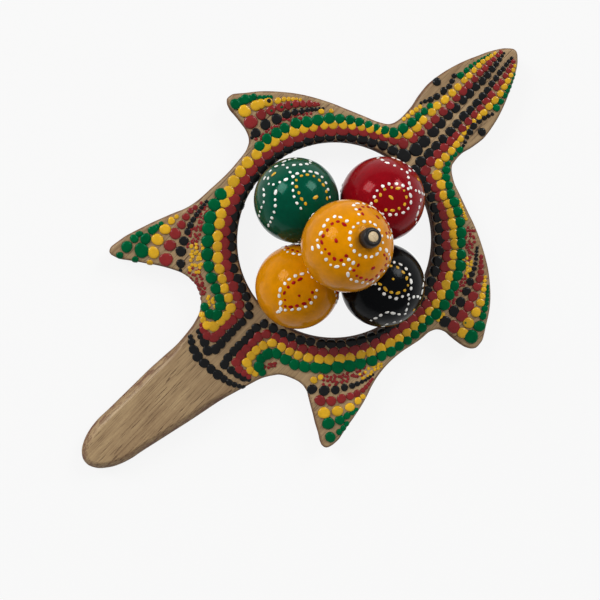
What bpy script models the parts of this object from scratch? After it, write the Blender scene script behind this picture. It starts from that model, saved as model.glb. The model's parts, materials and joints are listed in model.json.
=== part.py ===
"""Ball rattle: a turtle-shaped board whose round hole carries a dome of hollow wooden balls.

Four dowels rise from the board's ring and lean inwards. Each carries one ball that spins freely, and together
they hold up the crown ball. Seeds inside every ball make the sound. +X points to the turtle's head, +Y to its
left side and +Z out of the decorated front. The board's back lies on Z = 0.
"""

import math

import bmesh
import bpy
from mathutils import Matrix, Vector

MM = 0.001

# Clearances
SEAT_GAP = 0.3 * MM        # glued or resting faces
RUNNING_GAP = 0.35 * MM    # ball bore round its dowel, on the radius
BALL_GAP = 0.7 * MM        # between neighbouring balls of the dome
SEED_GAP = 0.6 * MM        # between seeds, and from seed to wall or dowel

# Balls
BALL_DIAMETER = 47.4 * MM
CROWN_DIAMETER = 49.0 * MM
BALL_WALL = 7.5 * MM
LAP_HEIGHT = 3.0 * MM
CROWN_TILT = math.radians(20.9)       # the crown ball's plug leans from the board's normal
CROWN_HEADING = math.radians(-16.4)   # towards the head and a little to the right
BALL_STEPS = 24

# Dowels, collars and plug
DOWEL_DIAMETER = 6.0 * MM
DOWEL_CHAMFER = 0.5 * MM
COLLAR_BASE_DIAMETER = 12.0 * MM
COLLAR_TIP_DIAMETER = 9.0 * MM
CROWN_COLLAR_HEIGHT = 6.3 * MM
PLUG_PROUD = 0.6 * MM

# Seeds
SEED_DIAMETER = 5.5 * MM
SEEDS_AROUND = 4

# Board
BOARD_THICKNESS = 12.0 * MM
EDGE_ROUND = 2.0 * MM
HOLE_MARGIN = -0.7 * MM    # the hole's rim lies this far outside the balls, seen from the front
HEAD_LENGTH = 93.3 * MM    # from the hole's rim to the nose
HEAD_WIDTH = 44.4 * MM
NECK_WIDTH = 39.4 * MM
HEAD_SHIFT = 2.5 * MM      # the head sits a little left of the hole's centre
HANDLE_LENGTH = 137.8 * MM   # from the hole's rim to the handle's end
HANDLE_ROOT_WIDTH = 45.2 * MM
HANDLE_END_WIDTH = 31.6 * MM
HANDLE_ROOT = 42.0 * MM      # where the handle comes clear of the rear flippers
HANDLE_END_ROUND = 31.0 * MM
HANDLE_SHIFT = -2.8 * MM
HANDLE_LEAN = math.radians(7.5)   # the sawn handle bends to the turtle's left
LEFT_RING_WIDTH = 15.7 * MM
RIGHT_RING_WIDTH = 19.0 * MM
LEFT_FRONT_REACH = 45.3 * MM      # flipper tips, measured outwards from the hole's rim
RIGHT_FRONT_REACH = 47.3 * MM
LEFT_REAR_REACH = 72.8 * MM
RIGHT_REAR_REACH = 64.0 * MM

# Flipper edges: angle from the head's axis in degrees, and share of the way from the ring's edge to the tip
LEFT_FRONT_EDGE = (
    (19.5, 0.05), (23, 0), (33, 0.03), (52, 0.32), (64, 0.59), (76, 0.89),
    (81.6, 1), (82.9, 0.9), (83.1, 0.6), (83.8, 0.23), (86.2, 0.08), (95, 0),
)
LEFT_REAR_EDGE = (
    (112, 0.1), (120.5, 0.24), (125, 0.42), (130, 0.68), (134.2, 0.92),
    (136.4, 1), (137.5, 0.98), (139.8, 0.74), (143, 0.44), (147.5, 0.26), (153, 0.2), (159.5, 0.24),
)
RIGHT_FRONT_EDGE = (
    (16.2, 0.05), (27, 0.04), (45, 0.29), (63, 0.68), (75, 0.91),
    (82.3, 1), (84.4, 0.88), (85.2, 0.57), (85.3, 0.26), (87.4, 0.07), (95.4, 0),
)
RIGHT_REAR_EDGE = (
    (109, 0.01), (119, 0.17), (126, 0.45), (132.4, 0.75), (136.3, 0.96),
    (138.9, 1), (140.6, 0.85), (144.2, 0.48), (148, 0.24), (153.7, 0.17), (160, 0.2),
)
HEAD_EDGE = ((0.98, 0.16), (0.9, 0.42), (0.81, 0.61), (0.7, 0.81), (0.58, 0.95), (0.47, 1))
NECK_STATION = 0.24
OUTLINE_RESOLUTION = 3
HOLE_RESOLUTION = 14

# Worked out from the sizes above
BALL_RADIUS = BALL_DIAMETER / 2
CROWN_RADIUS = CROWN_DIAMETER / 2
DOWEL_RADIUS = DOWEL_DIAMETER / 2
SEED_RADIUS = SEED_DIAMETER / 2
BALL_ORBIT = (BALL_DIAMETER + BALL_GAP) / math.sqrt(2)
HOLE_RADIUS = BALL_ORBIT + BALL_RADIUS + HOLE_MARGIN
BALL_TO_CROWN = BALL_RADIUS + CROWN_RADIUS + SEAT_GAP
CROWN_RISE = math.sqrt(BALL_TO_CROWN**2 - BALL_ORBIT**2)
DOWEL_SLOPE = math.atan2(CROWN_RISE, BALL_ORBIT)
BALL_HEIGHT = BOARD_THICKNESS / 2 + (HOLE_RADIUS - BALL_ORBIT) * math.tan(DOWEL_SLOPE)
CROWN_HEIGHT = BALL_HEIGHT + CROWN_RISE

# Each outer ball's colour name, and its place round the hole in degrees from the head
ARMS = (("red", 0), ("green", 90), ("yellow", 180), ("black", 270))

# Finishes: colour, roughness
WOOD = ((0.45, 0.31, 0.18), 0.55)
PALE_WOOD = ((0.62, 0.47, 0.30), 0.6)
COLLAR_BLACK = ((0.012, 0.012, 0.013), 0.4)
SEED_BROWN = ((0.20, 0.11, 0.05), 0.6)
LACQUERS = {
    "red": ((0.28, 0.008, 0.012), 0.2),
    "green": ((0.003, 0.07, 0.03), 0.2),
    "yellow": ((0.64, 0.27, 0.004), 0.2),
    "black": ((0.006, 0.006, 0.007), 0.2),
}


def clear_scene():
    for obj in list(bpy.data.objects):
        bpy.data.objects.remove(obj)


def finish_material(name, finish):
    colour, roughness = finish
    material = bpy.data.materials.new(name)
    material.use_nodes = True
    shader = material.node_tree.nodes["Principled BSDF"]
    shader.inputs["Base Color"].default_value = (*colour, 1)
    shader.inputs["Roughness"].default_value = roughness
    shader.inputs["Metallic"].default_value = 0
    return material


def add_empty(name, parent, location, rotation=(0, 0, 0)):
    empty = bpy.data.objects.new(name, None)
    bpy.context.collection.objects.link(empty)
    empty.parent = parent
    empty.location = location
    empty.rotation_euler = rotation
    return empty


def add_piece(name, shape, parent, finish):
    """Makes the bmesh a named object under its parent, smooth on round faces."""
    mesh = bpy.data.meshes.new(name)
    shape.to_mesh(mesh)
    shape.free()
    mesh.shade_smooth()
    mesh.set_sharp_from_angle(angle=math.radians(40))
    piece = bpy.data.objects.new(name, mesh)
    bpy.context.collection.objects.link(piece)
    piece.parent = parent
    mesh.materials.append(finish_material(name, finish))
    return piece


def turned(profile, steps):
    """Turns a closed profile of (radius, height) points round the Z axis. Points at radius 0 become poles."""
    shape = bmesh.new()
    points = [shape.verts.new((radius, 0, height)) for radius, height in profile]
    edges = [shape.edges.new((points[i - 1], points[i])) for i in range(len(points))]
    bmesh.ops.spin(
        shape, geom=points + edges, cent=(0, 0, 0), axis=(0, 0, 1), angle=2 * math.pi, steps=steps,
        use_merge=True,
    )
    bmesh.ops.remove_doubles(shape, verts=shape.verts, dist=0.01 * MM)
    bmesh.ops.dissolve_degenerate(shape, edges=shape.edges, dist=0.01 * MM)
    bmesh.ops.recalc_face_normals(shape, faces=shape.faces)
    return shape


def arc(radius, start, end, count):
    """Points (radius, height) on a circle round the origin, at angles from the turning axis."""
    angles = [start + (end - start) * i / count for i in range(count + 1)]
    return [(radius * math.sin(a), radius * math.cos(a)) for a in angles]


def bore_angle(bore, radius):
    return math.asin(bore / radius)


def rebated_half(radius, bore):
    """Upper half shell, bored at its pole, with a rebate inside its rim for the other half's spigot."""
    inner = radius - BALL_WALL
    lap_radius = (radius + inner + SEAT_GAP) / 2
    rim = SEAT_GAP / 2
    shoulder = LAP_HEIGHT + SEAT_GAP
    outside = arc(radius, bore_angle(bore, radius), math.acos(rim / radius), 6)
    inside = arc(inner, math.acos(shoulder / inner), bore_angle(bore, inner), 4)
    return turned(outside + [(lap_radius, rim), (lap_radius, shoulder)] + inside, BALL_STEPS)


def spigot_half(radius, bore):
    """Lower half shell, whose rim carries the spigot. A bore of 0 leaves its pole closed."""
    inner = radius - BALL_WALL
    lap_radius = (radius + inner - SEAT_GAP) / 2
    rim = -SEAT_GAP / 2
    outside = arc(radius, math.pi - bore_angle(bore, radius), math.acos(rim / radius), 6)
    inside = arc(inner, math.acos(LAP_HEIGHT / inner), math.pi - bore_angle(bore, inner), 5)
    return turned(outside + [(lap_radius, rim), (lap_radius, LAP_HEIGHT)] + inside, BALL_STEPS)


def rod(radius, low, high, sides=20):
    """A round rod along Z with a small chamfer at its upper end."""
    profile = [(0, high), (radius - DOWEL_CHAMFER, high), (radius, high - DOWEL_CHAMFER), (radius, low), (0, low)]
    return turned(profile, sides)


def collar(ball_radius, foot, tip):
    """A tapered ring whose foot follows the ball it seats on. Heights run from the ball's centre along Z."""
    bore = DOWEL_RADIUS + SEAT_GAP
    seat = ball_radius + foot
    base_angle = math.asin(COLLAR_BASE_DIAMETER / 2 / seat)
    seating = arc(seat, base_angle, bore_angle(bore, seat), 2)
    return turned([(bore, tip), (COLLAR_TIP_DIAMETER / 2, tip)] + seating, 24)


def outline_landmarks():
    """Corners and turning points of the turtle, anticlockwise from the nose, in the board's plane."""

    def flipper(edge, ring, reach, side):
        for angle, share in edge:
            distance = HOLE_RADIUS + ring + share * (reach - ring)
            turn = side * math.radians(angle)
            yield distance * math.cos(turn), distance * math.sin(turn)

    def head(side):
        for station, share in HEAD_EDGE:
            yield HOLE_RADIUS + station * HEAD_LENGTH, HEAD_SHIFT + side * share * HEAD_WIDTH / 2
        yield HOLE_RADIUS + NECK_STATION * HEAD_LENGTH, HEAD_SHIFT + side * NECK_WIDTH / 2

    def handle(side):
        taper_end = HANDLE_LENGTH - HANDLE_END_ROUND
        stations = [(HANDLE_ROOT, HANDLE_ROOT_WIDTH / 2)]
        stations.append(((HANDLE_ROOT + taper_end) / 2, (HANDLE_ROOT_WIDTH + HANDLE_END_WIDTH) / 4))
        for turn in (0, 25, 50, 72):
            t = math.radians(turn)
            stations.append((taper_end + HANDLE_END_ROUND * math.sin(t), HANDLE_END_WIDTH / 2 * math.cos(t)))
        for along, across in stations:
            x = along * math.cos(HANDLE_LEAN) - side * across * math.sin(HANDLE_LEAN)
            y = along * math.sin(HANDLE_LEAN) + side * across * math.cos(HANDLE_LEAN)
            yield -HOLE_RADIUS - x, HANDLE_SHIFT + y

    nose = (HOLE_RADIUS + HEAD_LENGTH, HEAD_SHIFT)
    end = (
        -HOLE_RADIUS - HANDLE_LENGTH * math.cos(HANDLE_LEAN),
        HANDLE_SHIFT + HANDLE_LENGTH * math.sin(HANDLE_LEAN),
    )
    left = [*head(1), *flipper(LEFT_FRONT_EDGE, LEFT_RING_WIDTH, LEFT_FRONT_REACH, 1)]
    left += [*flipper(LEFT_REAR_EDGE, LEFT_RING_WIDTH, LEFT_REAR_REACH, 1), *handle(1)]
    right = [*head(-1), *flipper(RIGHT_FRONT_EDGE, RIGHT_RING_WIDTH, RIGHT_FRONT_REACH, -1)]
    right += [*flipper(RIGHT_REAR_EDGE, RIGHT_RING_WIDTH, RIGHT_REAR_REACH, -1), *handle(-1)]
    return [nose, *left, end, *reversed(right)]


def add_loop(curve, landmarks, resolution):
    """A closed smooth spline through the landmarks."""
    spline = curve.splines.new("BEZIER")
    spline.bezier_points.add(len(landmarks) - 1)
    spline.use_cyclic_u = True
    spline.resolution_u = resolution
    for point, (x, y) in zip(spline.bezier_points, landmarks):
        point.co = (x, y, 0)
        point.handle_left_type = "AUTO"
        point.handle_right_type = "AUTO"


def board_shape():
    """The sawn board: outline and hole as one filled curve, its edges rounded over."""
    curve = bpy.data.curves.new("board_outline", "CURVE")
    curve.dimensions = "2D"
    curve.fill_mode = "BOTH"
    curve.extrude = BOARD_THICKNESS / 2 - EDGE_ROUND
    curve.bevel_depth = EDGE_ROUND
    curve.bevel_resolution = 1
    curve.offset = -EDGE_ROUND
    add_loop(curve, outline_landmarks(), OUTLINE_RESOLUTION)
    quarter_turns = [i * math.pi / 2 for i in range(4)]
    hole = [(HOLE_RADIUS * math.cos(t), HOLE_RADIUS * math.sin(t)) for t in quarter_turns]
    add_loop(curve, hole, HOLE_RESOLUTION)
    pattern = bpy.data.objects.new("board_pattern", curve)
    bpy.context.collection.objects.link(pattern)
    bpy.context.view_layer.update()
    mesh = bpy.data.meshes.new_from_object(pattern.evaluated_get(bpy.context.evaluated_depsgraph_get()))
    bpy.data.objects.remove(pattern)
    shape = bmesh.new()
    shape.from_mesh(mesh)
    bmesh.ops.remove_doubles(shape, verts=shape.verts, dist=0.005 * MM)
    bmesh.ops.translate(shape, verts=shape.verts, vec=(0, 0, BOARD_THICKNESS / 2))
    bmesh.ops.recalc_face_normals(shape, faces=shape.faces)
    return shape


def drill(piece, parent, radius, low, high):
    """Cuts a round hole along the parent's Z axis out of a piece."""
    cutter = add_piece(f"{piece.name}_{parent.name}_drill", rod(radius, low, high), parent, PALE_WOOD)
    cutter.hide_render = True
    cutter.display_type = "WIRE"
    cut = piece.modifiers.new(cutter.name, "BOOLEAN")
    cut.operation = "DIFFERENCE"
    cut.solver = "EXACT"
    cut.object = cutter


def add_seeds(colour, ball_radius, parent, down, dowel=None):
    """One seed at the lowest point of a ball's hollow and a ring of seeds round it, lying on the wall.

    Where a dowel crosses the hollow, the group swings off the lowest point as far as the dowel needs.
    """
    orbit = ball_radius - BALL_WALL - SEED_RADIUS - SEED_GAP
    spacing = 2 * math.asin((SEED_DIAMETER + SEED_GAP) / 2 / orbit)
    half_step = math.pi / SEEDS_AROUND
    towards = dowel or Vector((1, 0, 0))
    across = down.cross(towards).normalized()
    forward = across.cross(down)
    swing = 0
    if dowel:
        clear = math.asin((DOWEL_RADIUS + SEED_GAP) / orbit) + math.asin(SEED_RADIUS / orbit)
        high, side = math.cos(spacing), math.sin(spacing) * math.cos(half_step)
        needed = math.atan2(side, high) + math.acos(math.cos(clear) / math.hypot(high, side))
        swing = max(0, needed - down.angle(dowel))
    middle = down * math.cos(swing) - forward * math.sin(swing)
    forward = across.cross(middle)
    places = [middle]
    for i in range(SEEDS_AROUND):
        turn = half_step * (2 * i + 1)
        sideways = forward * math.cos(turn) + across * math.sin(turn)
        places.append(middle * math.cos(spacing) + sideways * math.sin(spacing))
    for number, place in enumerate(places, 1):
        seed = bmesh.new()
        where = Matrix.Translation(place * orbit)
        bmesh.ops.create_uvsphere(seed, u_segments=8, v_segments=6, radius=SEED_RADIUS, matrix=where)
        add_piece(f"{colour}_seed_{number}", seed, parent, SEED_BROWN)


def add_board(root):
    board = add_piece("turtle_board", board_shape(), root, WOOD)
    corners = [Vector(corner) for corner in board.bound_box]
    middle = sum(corners, Vector()) / len(corners)
    root.location = (-middle.x, -middle.y, 0)
    return board


def add_crown(root):
    """The crown ball with its filling plug and collar, and the seeds lying in it."""
    axis = add_empty("crown_axis", root, (0, 0, CROWN_HEIGHT), (0, CROWN_TILT, CROWN_HEADING))
    bore = DOWEL_RADIUS + SEAT_GAP
    add_piece("crown_ball_upper", rebated_half(CROWN_RADIUS, bore), axis, LACQUERS["yellow"])
    lower = add_piece("crown_ball_lower", spigot_half(CROWN_RADIUS, 0), axis, LACQUERS["yellow"])
    tip = CROWN_RADIUS + SEAT_GAP + CROWN_COLLAR_HEIGHT
    add_piece("crown_collar", collar(CROWN_RADIUS, SEAT_GAP, tip), axis, COLLAR_BLACK)
    plug_foot = CROWN_RADIUS - BALL_WALL + SEAT_GAP
    add_piece("crown_plug", rod(DOWEL_RADIUS, plug_foot, tip + PLUG_PROUD), axis, PALE_WOOD)
    hollow = add_empty("crown_hollow", root, (0, 0, CROWN_HEIGHT))
    add_seeds("crown", CROWN_RADIUS, hollow, Vector((0, 0, -1)))
    return lower


def add_arm(root, board, crown_lower, colour, heading):
    """One slanted dowel with its spacer collar, its spinning ball and the ball's seeds.

    The arm's axis empty stands at the ball's centre with Z along the dowel, up towards the crown ball.
    """
    place = (BALL_ORBIT * math.cos(heading), BALL_ORBIT * math.sin(heading), BALL_HEIGHT)
    lean = DOWEL_SLOPE - math.pi / 2
    axis = add_empty(f"{colour}_ball_axis", root, place, (0, lean, heading))

    top = BALL_TO_CROWN - (CROWN_RADIUS - BALL_WALL) - SEAT_GAP
    below_back = (BALL_HEIGHT + DOWEL_DIAMETER) / math.sin(DOWEL_SLOPE)
    upright = Matrix.Rotation(-lean, 3, "Y") @ Vector((0, 0, 1))
    dowel = rod(DOWEL_RADIUS, -below_back, top)
    everything = dowel.verts[:] + dowel.edges[:] + dowel.faces[:]
    flush = upright * (SEAT_GAP - BALL_HEIGHT)
    cut = bmesh.ops.bisect_plane(dowel, geom=everything, plane_co=flush, plane_no=upright, clear_inner=True)
    rim = [edge for edge in cut["geom_cut"] if isinstance(edge, bmesh.types.BMEdge)]
    bmesh.ops.holes_fill(dowel, edges=rim)
    bmesh.ops.recalc_face_normals(dowel, faces=dowel.faces)
    add_piece(f"{colour}_dowel", dowel, axis, PALE_WOOD)

    bore = DOWEL_RADIUS + SEAT_GAP
    drill(board, axis, bore, -below_back, -BALL_RADIUS)
    drill(crown_lower, axis, bore, BALL_RADIUS, top + BALL_WALL)

    room = HOLE_RADIUS - SEAT_GAP - BALL_ORBIT - COLLAR_TIP_DIAMETER / 2 * math.sin(DOWEL_SLOPE)
    spacer = collar(BALL_RADIUS, SEAT_GAP, room / math.cos(DOWEL_SLOPE))
    bmesh.ops.rotate(spacer, verts=spacer.verts, cent=(0, 0, 0), matrix=Matrix.Rotation(math.pi, 3, "X"))
    add_piece(f"{colour}_spacer", spacer, axis, COLLAR_BLACK)

    running_bore = DOWEL_RADIUS + RUNNING_GAP
    add_piece(f"{colour}_ball_inner", rebated_half(BALL_RADIUS, running_bore), axis, LACQUERS[colour])
    add_piece(f"{colour}_ball_outer", spigot_half(BALL_RADIUS, running_bore), axis, LACQUERS[colour])
    add_seeds(colour, BALL_RADIUS, axis, -upright, Vector((0, 0, -1)))


def main():
    clear_scene()
    root = add_empty("ball_rattle", None, (0, 0, 0))
    board = add_board(root)
    crown_lower = add_crown(root)
    for colour, degrees in ARMS:
        add_arm(root, board, crown_lower, colour, math.radians(degrees))


main()
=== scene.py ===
# %% [markdown]
# # A ball rattle sawn as a sea turtle
#
# The real rattle is a flat wooden board, sawn to a sea turtle whose tail is the handle. One big round hole
# takes the place of the shell. Four slanted dowels rise from the wall of the hole and meet in a fifth ball,
# the crown. Each dowel carries a hollow lacquered ball that turns freely and has dry seeds in it. Rows of
# thick paint drops cover the board and the balls.
#
# The CAD frame already holds every part at its true size and place. So this lesson reads all its
# measurements from the frame, and then gives each part its finished surface: the rounded board, the smooth
# turned balls, and the paint, drop by drop.

import json

import bpy
import mathutils
import numpy as np
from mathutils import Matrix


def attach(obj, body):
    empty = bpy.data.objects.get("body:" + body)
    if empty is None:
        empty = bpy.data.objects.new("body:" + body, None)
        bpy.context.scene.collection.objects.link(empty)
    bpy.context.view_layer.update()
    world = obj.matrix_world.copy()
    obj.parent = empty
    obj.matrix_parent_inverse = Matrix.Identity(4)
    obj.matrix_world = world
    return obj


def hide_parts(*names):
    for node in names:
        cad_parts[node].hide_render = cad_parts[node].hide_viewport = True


MM = 0.001
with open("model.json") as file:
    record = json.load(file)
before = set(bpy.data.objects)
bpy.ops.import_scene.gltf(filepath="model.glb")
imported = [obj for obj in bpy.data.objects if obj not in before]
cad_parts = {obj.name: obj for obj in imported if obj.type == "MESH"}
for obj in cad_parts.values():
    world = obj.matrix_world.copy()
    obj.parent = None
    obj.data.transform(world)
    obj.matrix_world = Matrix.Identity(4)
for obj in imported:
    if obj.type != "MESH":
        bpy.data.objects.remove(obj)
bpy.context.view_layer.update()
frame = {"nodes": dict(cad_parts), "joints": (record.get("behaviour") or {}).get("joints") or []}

# %% [markdown]
# ## Measurements
#
# A hinge in the frame says where each ball turns: its position is the ball's centre and its axis is the
# dowel, pointing up to the crown. All four axes meet in the crown's centre, and the middle of the four balls
# is the middle of the hole. Sizes could be typed in again, but a number that is read from the frame can't
# disagree with it.

# %% Read centres, axes and radii from the frame
COLOURS = ("red", "green", "yellow", "black")


def node_points(name):
    """The corner points of one CAD node, one row each, in metres."""
    mesh = frame["nodes"][name].data
    flat = np.empty(3 * len(mesh.vertices), dtype=np.float32)
    mesh.vertices.foreach_get("co", flat)
    return flat.reshape(-1, 3).astype(float)


def unit(vectors):
    """Vectors divided by their own length."""
    return vectors / np.linalg.norm(vectors, axis=-1, keepdims=True)


hinges = {joint["name"]: joint for joint in frame["joints"]}
spins = {name: hinges[name + "_ball_spin"] for name in COLOURS}
ball_centre = {name: np.array(spin["pos_m"]) for name, spin in spins.items()}
ball_axis = {name: unit(np.array(spin["axis"])) for name, spin in spins.items()}
hole = np.mean([centre[:2] for centre in ball_centre.values()], axis=0)
climb = np.linalg.norm(ball_centre["red"][:2] - hole) / np.linalg.norm(ball_axis["red"][:2])
ball_centre["crown"] = ball_centre["red"] + climb * ball_axis["red"]

plug_points = node_points("crown_plug")
plug_axes = np.linalg.svd(plug_points - plug_points.mean(axis=0), full_matrices=False)[2]
ball_axis["crown"] = plug_axes[0] * np.sign(plug_axes[0][2])

outer_half = {name: name + "_ball_outer" for name in COLOURS}
outer_half["crown"] = "crown_ball_lower"
ball_radius = {
    name: np.linalg.norm(node_points(half) - ball_centre[name], axis=1).max()
    for name, half in outer_half.items()
}
print("hole centre", hole.round(4), "crown centre", ball_centre["crown"].round(4))
print("ball radii in mm", {name: round(radius / MM, 2) for name, radius in ball_radius.items()})

# %% [markdown]
# ## Camera
#
# The picture looks down on the board almost squarely, with the head at the upper right and the handle at the
# lower left. The board's own axes, seen from the camera, are its normal, which leans a few degrees, and its
# long axis, which runs up to the right. Those three directions are the rows of the camera's turning matrix,
# and the pixel where the middle of the hole is seen gives its place. A camera could also be pushed about by
# eye, but three angles and a pixel can be corrected one at a time.

# %% Set the camera
PICTURE_SIDE = 600
FOCAL_PIXELS = 1042.2
SENSOR_WIDTH = 36.0
HOLE_PIXEL = np.array([336.5, 241.7])
HOLE_DISTANCE = 600 * MM
LEAN_RIGHT = np.radians(4.2)
LEAN_DOWN = np.radians(5.7)
HEAD_HEADING = np.radians(46.0)

thickness = node_points("turtle_board")[:, 2].max()
normal_seen = np.array([np.sin(LEAN_RIGHT), -np.sin(LEAN_DOWN), 0.0])
normal_seen[2] = np.sqrt(1 - np.sum(normal_seen ** 2))
long_seen = np.array([np.cos(HEAD_HEADING), np.sin(HEAD_HEADING), 0.0])
long_seen = unit(long_seen - normal_seen * (long_seen @ normal_seen))
camera_turn = np.stack([long_seen, np.cross(normal_seen, long_seen), normal_seen])
off_centre = (HOLE_PIXEL - PICTURE_SIDE / 2) / FOCAL_PIXELS * HOLE_DISTANCE
hole_seen = np.array([off_centre[0], -off_centre[1], -HOLE_DISTANCE])
camera_place = np.append(hole, thickness) - camera_turn @ hole_seen

camera_data = bpy.data.cameras.new("camera")
camera_data.sensor_width = SENSOR_WIDTH
camera_data.lens = FOCAL_PIXELS / PICTURE_SIDE * SENSOR_WIDTH
camera = bpy.data.objects.new("camera", camera_data)
camera_matrix = np.eye(4)
camera_matrix[:3, :3] = camera_turn
camera_matrix[:3, 3] = camera_place
camera.matrix_world = mathutils.Matrix(camera_matrix.tolist())
bpy.context.scene.collection.objects.link(camera)
bpy.context.scene.camera = camera
print("camera at", camera_place.round(3), "lens", round(camera_data.lens, 2), "mm")

# %% [markdown]
# ## Small tools for finishes
#
# A finish is a net of shader nodes. It could be drawn with the mouse in the shader editor, but a net that is
# written down can be read and changed like the shapes. A few short helpers keep it readable: one adds a node
# and fills its inputs, others do a sum, a ramp, a mix or a noise in one line, and one starts a node group
# with named sockets, so that wood grain, paint skin and soil are made once and used in many finishes.

# %% Helpers that make nodes and finishes
VECTOR = "NodeSocketVector"
COLOUR = "NodeSocketColor"
VALUE = "NodeSocketFloat"


def colour(red, green, blue):
    """A colour written in picture values from 0 to 255, turned to the linear values that a shader takes."""
    share = np.array([red, green, blue]) / 255
    linear = np.where(share <= 0.04045, share / 12.92, ((share + 0.055) / 1.055) ** 2.4)
    return (*linear.tolist(), 1.0)


def fill(tree, made, inputs):
    """Fills inputs of a node, each with a value or with a link from another node's output."""
    for key, value in inputs.items():
        if isinstance(value, bpy.types.NodeSocket):
            tree.links.new(value, made.inputs[key])
        else:
            made.inputs[key].default_value = value


def node(tree, kind, inputs=None, **settings):
    """Adds one node, sets its settings and fills its inputs."""
    made = tree.nodes.new(kind)
    for key, value in settings.items():
        setattr(made, key, value)
    fill(tree, made, inputs or {})
    return made


def shader_group(name, inputs, outputs):
    """An empty node group with named sockets, what it is given, and the node that takes its results."""
    tree = bpy.data.node_groups.new(name, "ShaderNodeTree")
    for label, kind in inputs.items():
        tree.interface.new_socket(label, in_out="INPUT", socket_type=kind)
    for label, kind in outputs.items():
        tree.interface.new_socket(label, in_out="OUTPUT", socket_type=kind)
    return tree, tree.nodes.new("NodeGroupInput").outputs, tree.nodes.new("NodeGroupOutput")


def effect(tree, group, **inputs):
    """A node group placed in a material with its own values, and what it puts out."""
    return node(tree, "ShaderNodeGroup", inputs, node_tree=group).outputs


def new_finish(name):
    """A new material, its node tree and the shader in it."""
    material = bpy.data.materials.new(name)
    material.use_nodes = True
    return material, material.node_tree, material.node_tree.nodes["Principled BSDF"]


print("middle grey in linear values:", round(colour(128, 128, 128)[0], 3))

# %% Helpers that calculate in a net
NOISE_ROUGHNESS = 0.6


def calc(tree, operation, first, second=0.5, third=0.0):
    """One sum on values, such as MULTIPLY or ADD, and its result; MULTIPLY_ADD adds the third."""
    return node(tree, "ShaderNodeMath", {0: first, 1: second, 2: third}, operation=operation).outputs[0]


def vector_calc(tree, operation, first, second=(0.0, 0.0, 0.0)):
    """One sum on vectors, and its result: a value for LENGTH and DISTANCE, and a vector for the others."""
    made = node(tree, "ShaderNodeVectorMath", {0: first, 1: second}, operation=operation)
    return made.outputs["Value" if operation in ("LENGTH", "DISTANCE") else "Vector"]


def ramp(tree, value, low, high, start=0.0, end=1.0):
    """A value carried from the range low to high over to the range start to end, and held at its ends."""
    inputs = {"Value": value, "From Min": low, "From Max": high, "To Min": start, "To Max": end}
    return node(tree, "ShaderNodeMapRange", inputs).outputs["Result"]


def mix(tree, share, first, second):
    """The first colour where share is 0 and the second where it is 1."""
    return node(tree, "ShaderNodeMix", {0: share, 6: first, 7: second}, data_type="RGBA").outputs[2]


def noise(tree, vector, scale, detail, squeeze=(1.0, 1.0, 1.0)):
    """Soft cloudy values round one half, with the pattern drawn out along an axis whose squeeze is small."""
    drawn = vector_calc(tree, "MULTIPLY", vector, squeeze)
    inputs = {"Vector": drawn, "Scale": scale, "Detail": detail, "Roughness": NOISE_ROUGHNESS}
    return node(tree, "ShaderNodeTexNoise", inputs).outputs[0]


def patches(tree, vector, low, high, start=0.0, end=1.0, **pattern):
    """A noise cut to patches: it is at its start below the noise value low, and at its end above high."""
    return ramp(tree, noise(tree, vector, **pattern), low, high, start, end)


def bumped(tree, height, strength, depth):
    """The normal of a surface whose fine relief is a height value times depth, in metres."""
    inputs = {"Height": height, "Strength": strength, "Distance": depth}
    return node(tree, "ShaderNodeBump", inputs).outputs["Normal"]


def dress(tree, shader, surface, strength, depth, tint=None):
    """Gives a shader a group's colour, or a tint in its place, and the group's roughness and relief."""
    fill(tree, shader, {
        "Base Color": surface["Color"] if tint is None else tint,
        "Roughness": surface["Roughness"],
        "Normal": bumped(tree, surface["Height"], strength, depth),
    })


print("sums, ramps, mixes and noise are ready")

# %% [markdown]
# ## Light and floor
#
# In the picture two broad lights stand above the rattle, one to the left and one to the right, and every
# ball shows both as soft patches. Two square lamps do that. A pale sky that is dimmer near the horizon fills
# the shadows and leaves the sides of the balls dark and rich. Many small lamps could fill them too, but each
# would show in the gloss.

# %% Lamps
bpy.context.scene.view_settings.view_transform = "Standard"
LAMP_DISTANCE = 6.0
LAMPS = {
    "lamp_left": dict(seen_from_camera=(-0.61, 0.47, 0.64), side=2.45, power=216.0),
    "lamp_right": dict(seen_from_camera=(0.60, 0.54, 0.58), side=2.19, power=167.0),
}


def add_lamp(name, seen_from_camera, side, power):
    """A square lamp off the crown, in a direction given along the camera's right, up and back."""
    lamp_data = bpy.data.lights.new(name, "AREA")
    lamp_data.size = side
    lamp_data.energy = power
    lamp = bpy.data.objects.new(name, lamp_data)
    towards = unit(camera_turn @ np.array(seen_from_camera))
    turn = mathutils.Vector(towards).to_track_quat("Z", "Y").to_matrix().to_4x4()
    lamp.matrix_world = mathutils.Matrix.Translation(ball_centre["crown"] + LAMP_DISTANCE * towards) @ turn
    bpy.context.scene.collection.objects.link(lamp)


for lamp_name, lamp_values in LAMPS.items():
    add_lamp(lamp_name, **lamp_values)
print("lamps", list(LAMPS))

# %% Sky
SKY_LOW = 0.05
SKY_HIGH = 0.75
SKY_HORIZON = 0.29
SKY_TOP = 0.39
WHITE = (1.0, 1.0, 1.0, 1.0)

world = bpy.data.worlds.new("studio_sky")
bpy.context.scene.world = world
world.use_nodes = True
sky = world.node_tree
sky_direction = node(sky, "ShaderNodeTexCoord").outputs["Generated"]
sky_rise = node(sky, "ShaderNodeSeparateXYZ", {0: sky_direction}).outputs["Z"]
sky_strength = ramp(sky, sky_rise, SKY_LOW, SKY_HIGH, SKY_HORIZON, SKY_TOP)
fill(sky, sky.nodes["Background"], {"Color": WHITE, "Strength": sky_strength})
print("sky", SKY_HORIZON, "to", SKY_TOP)

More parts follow.
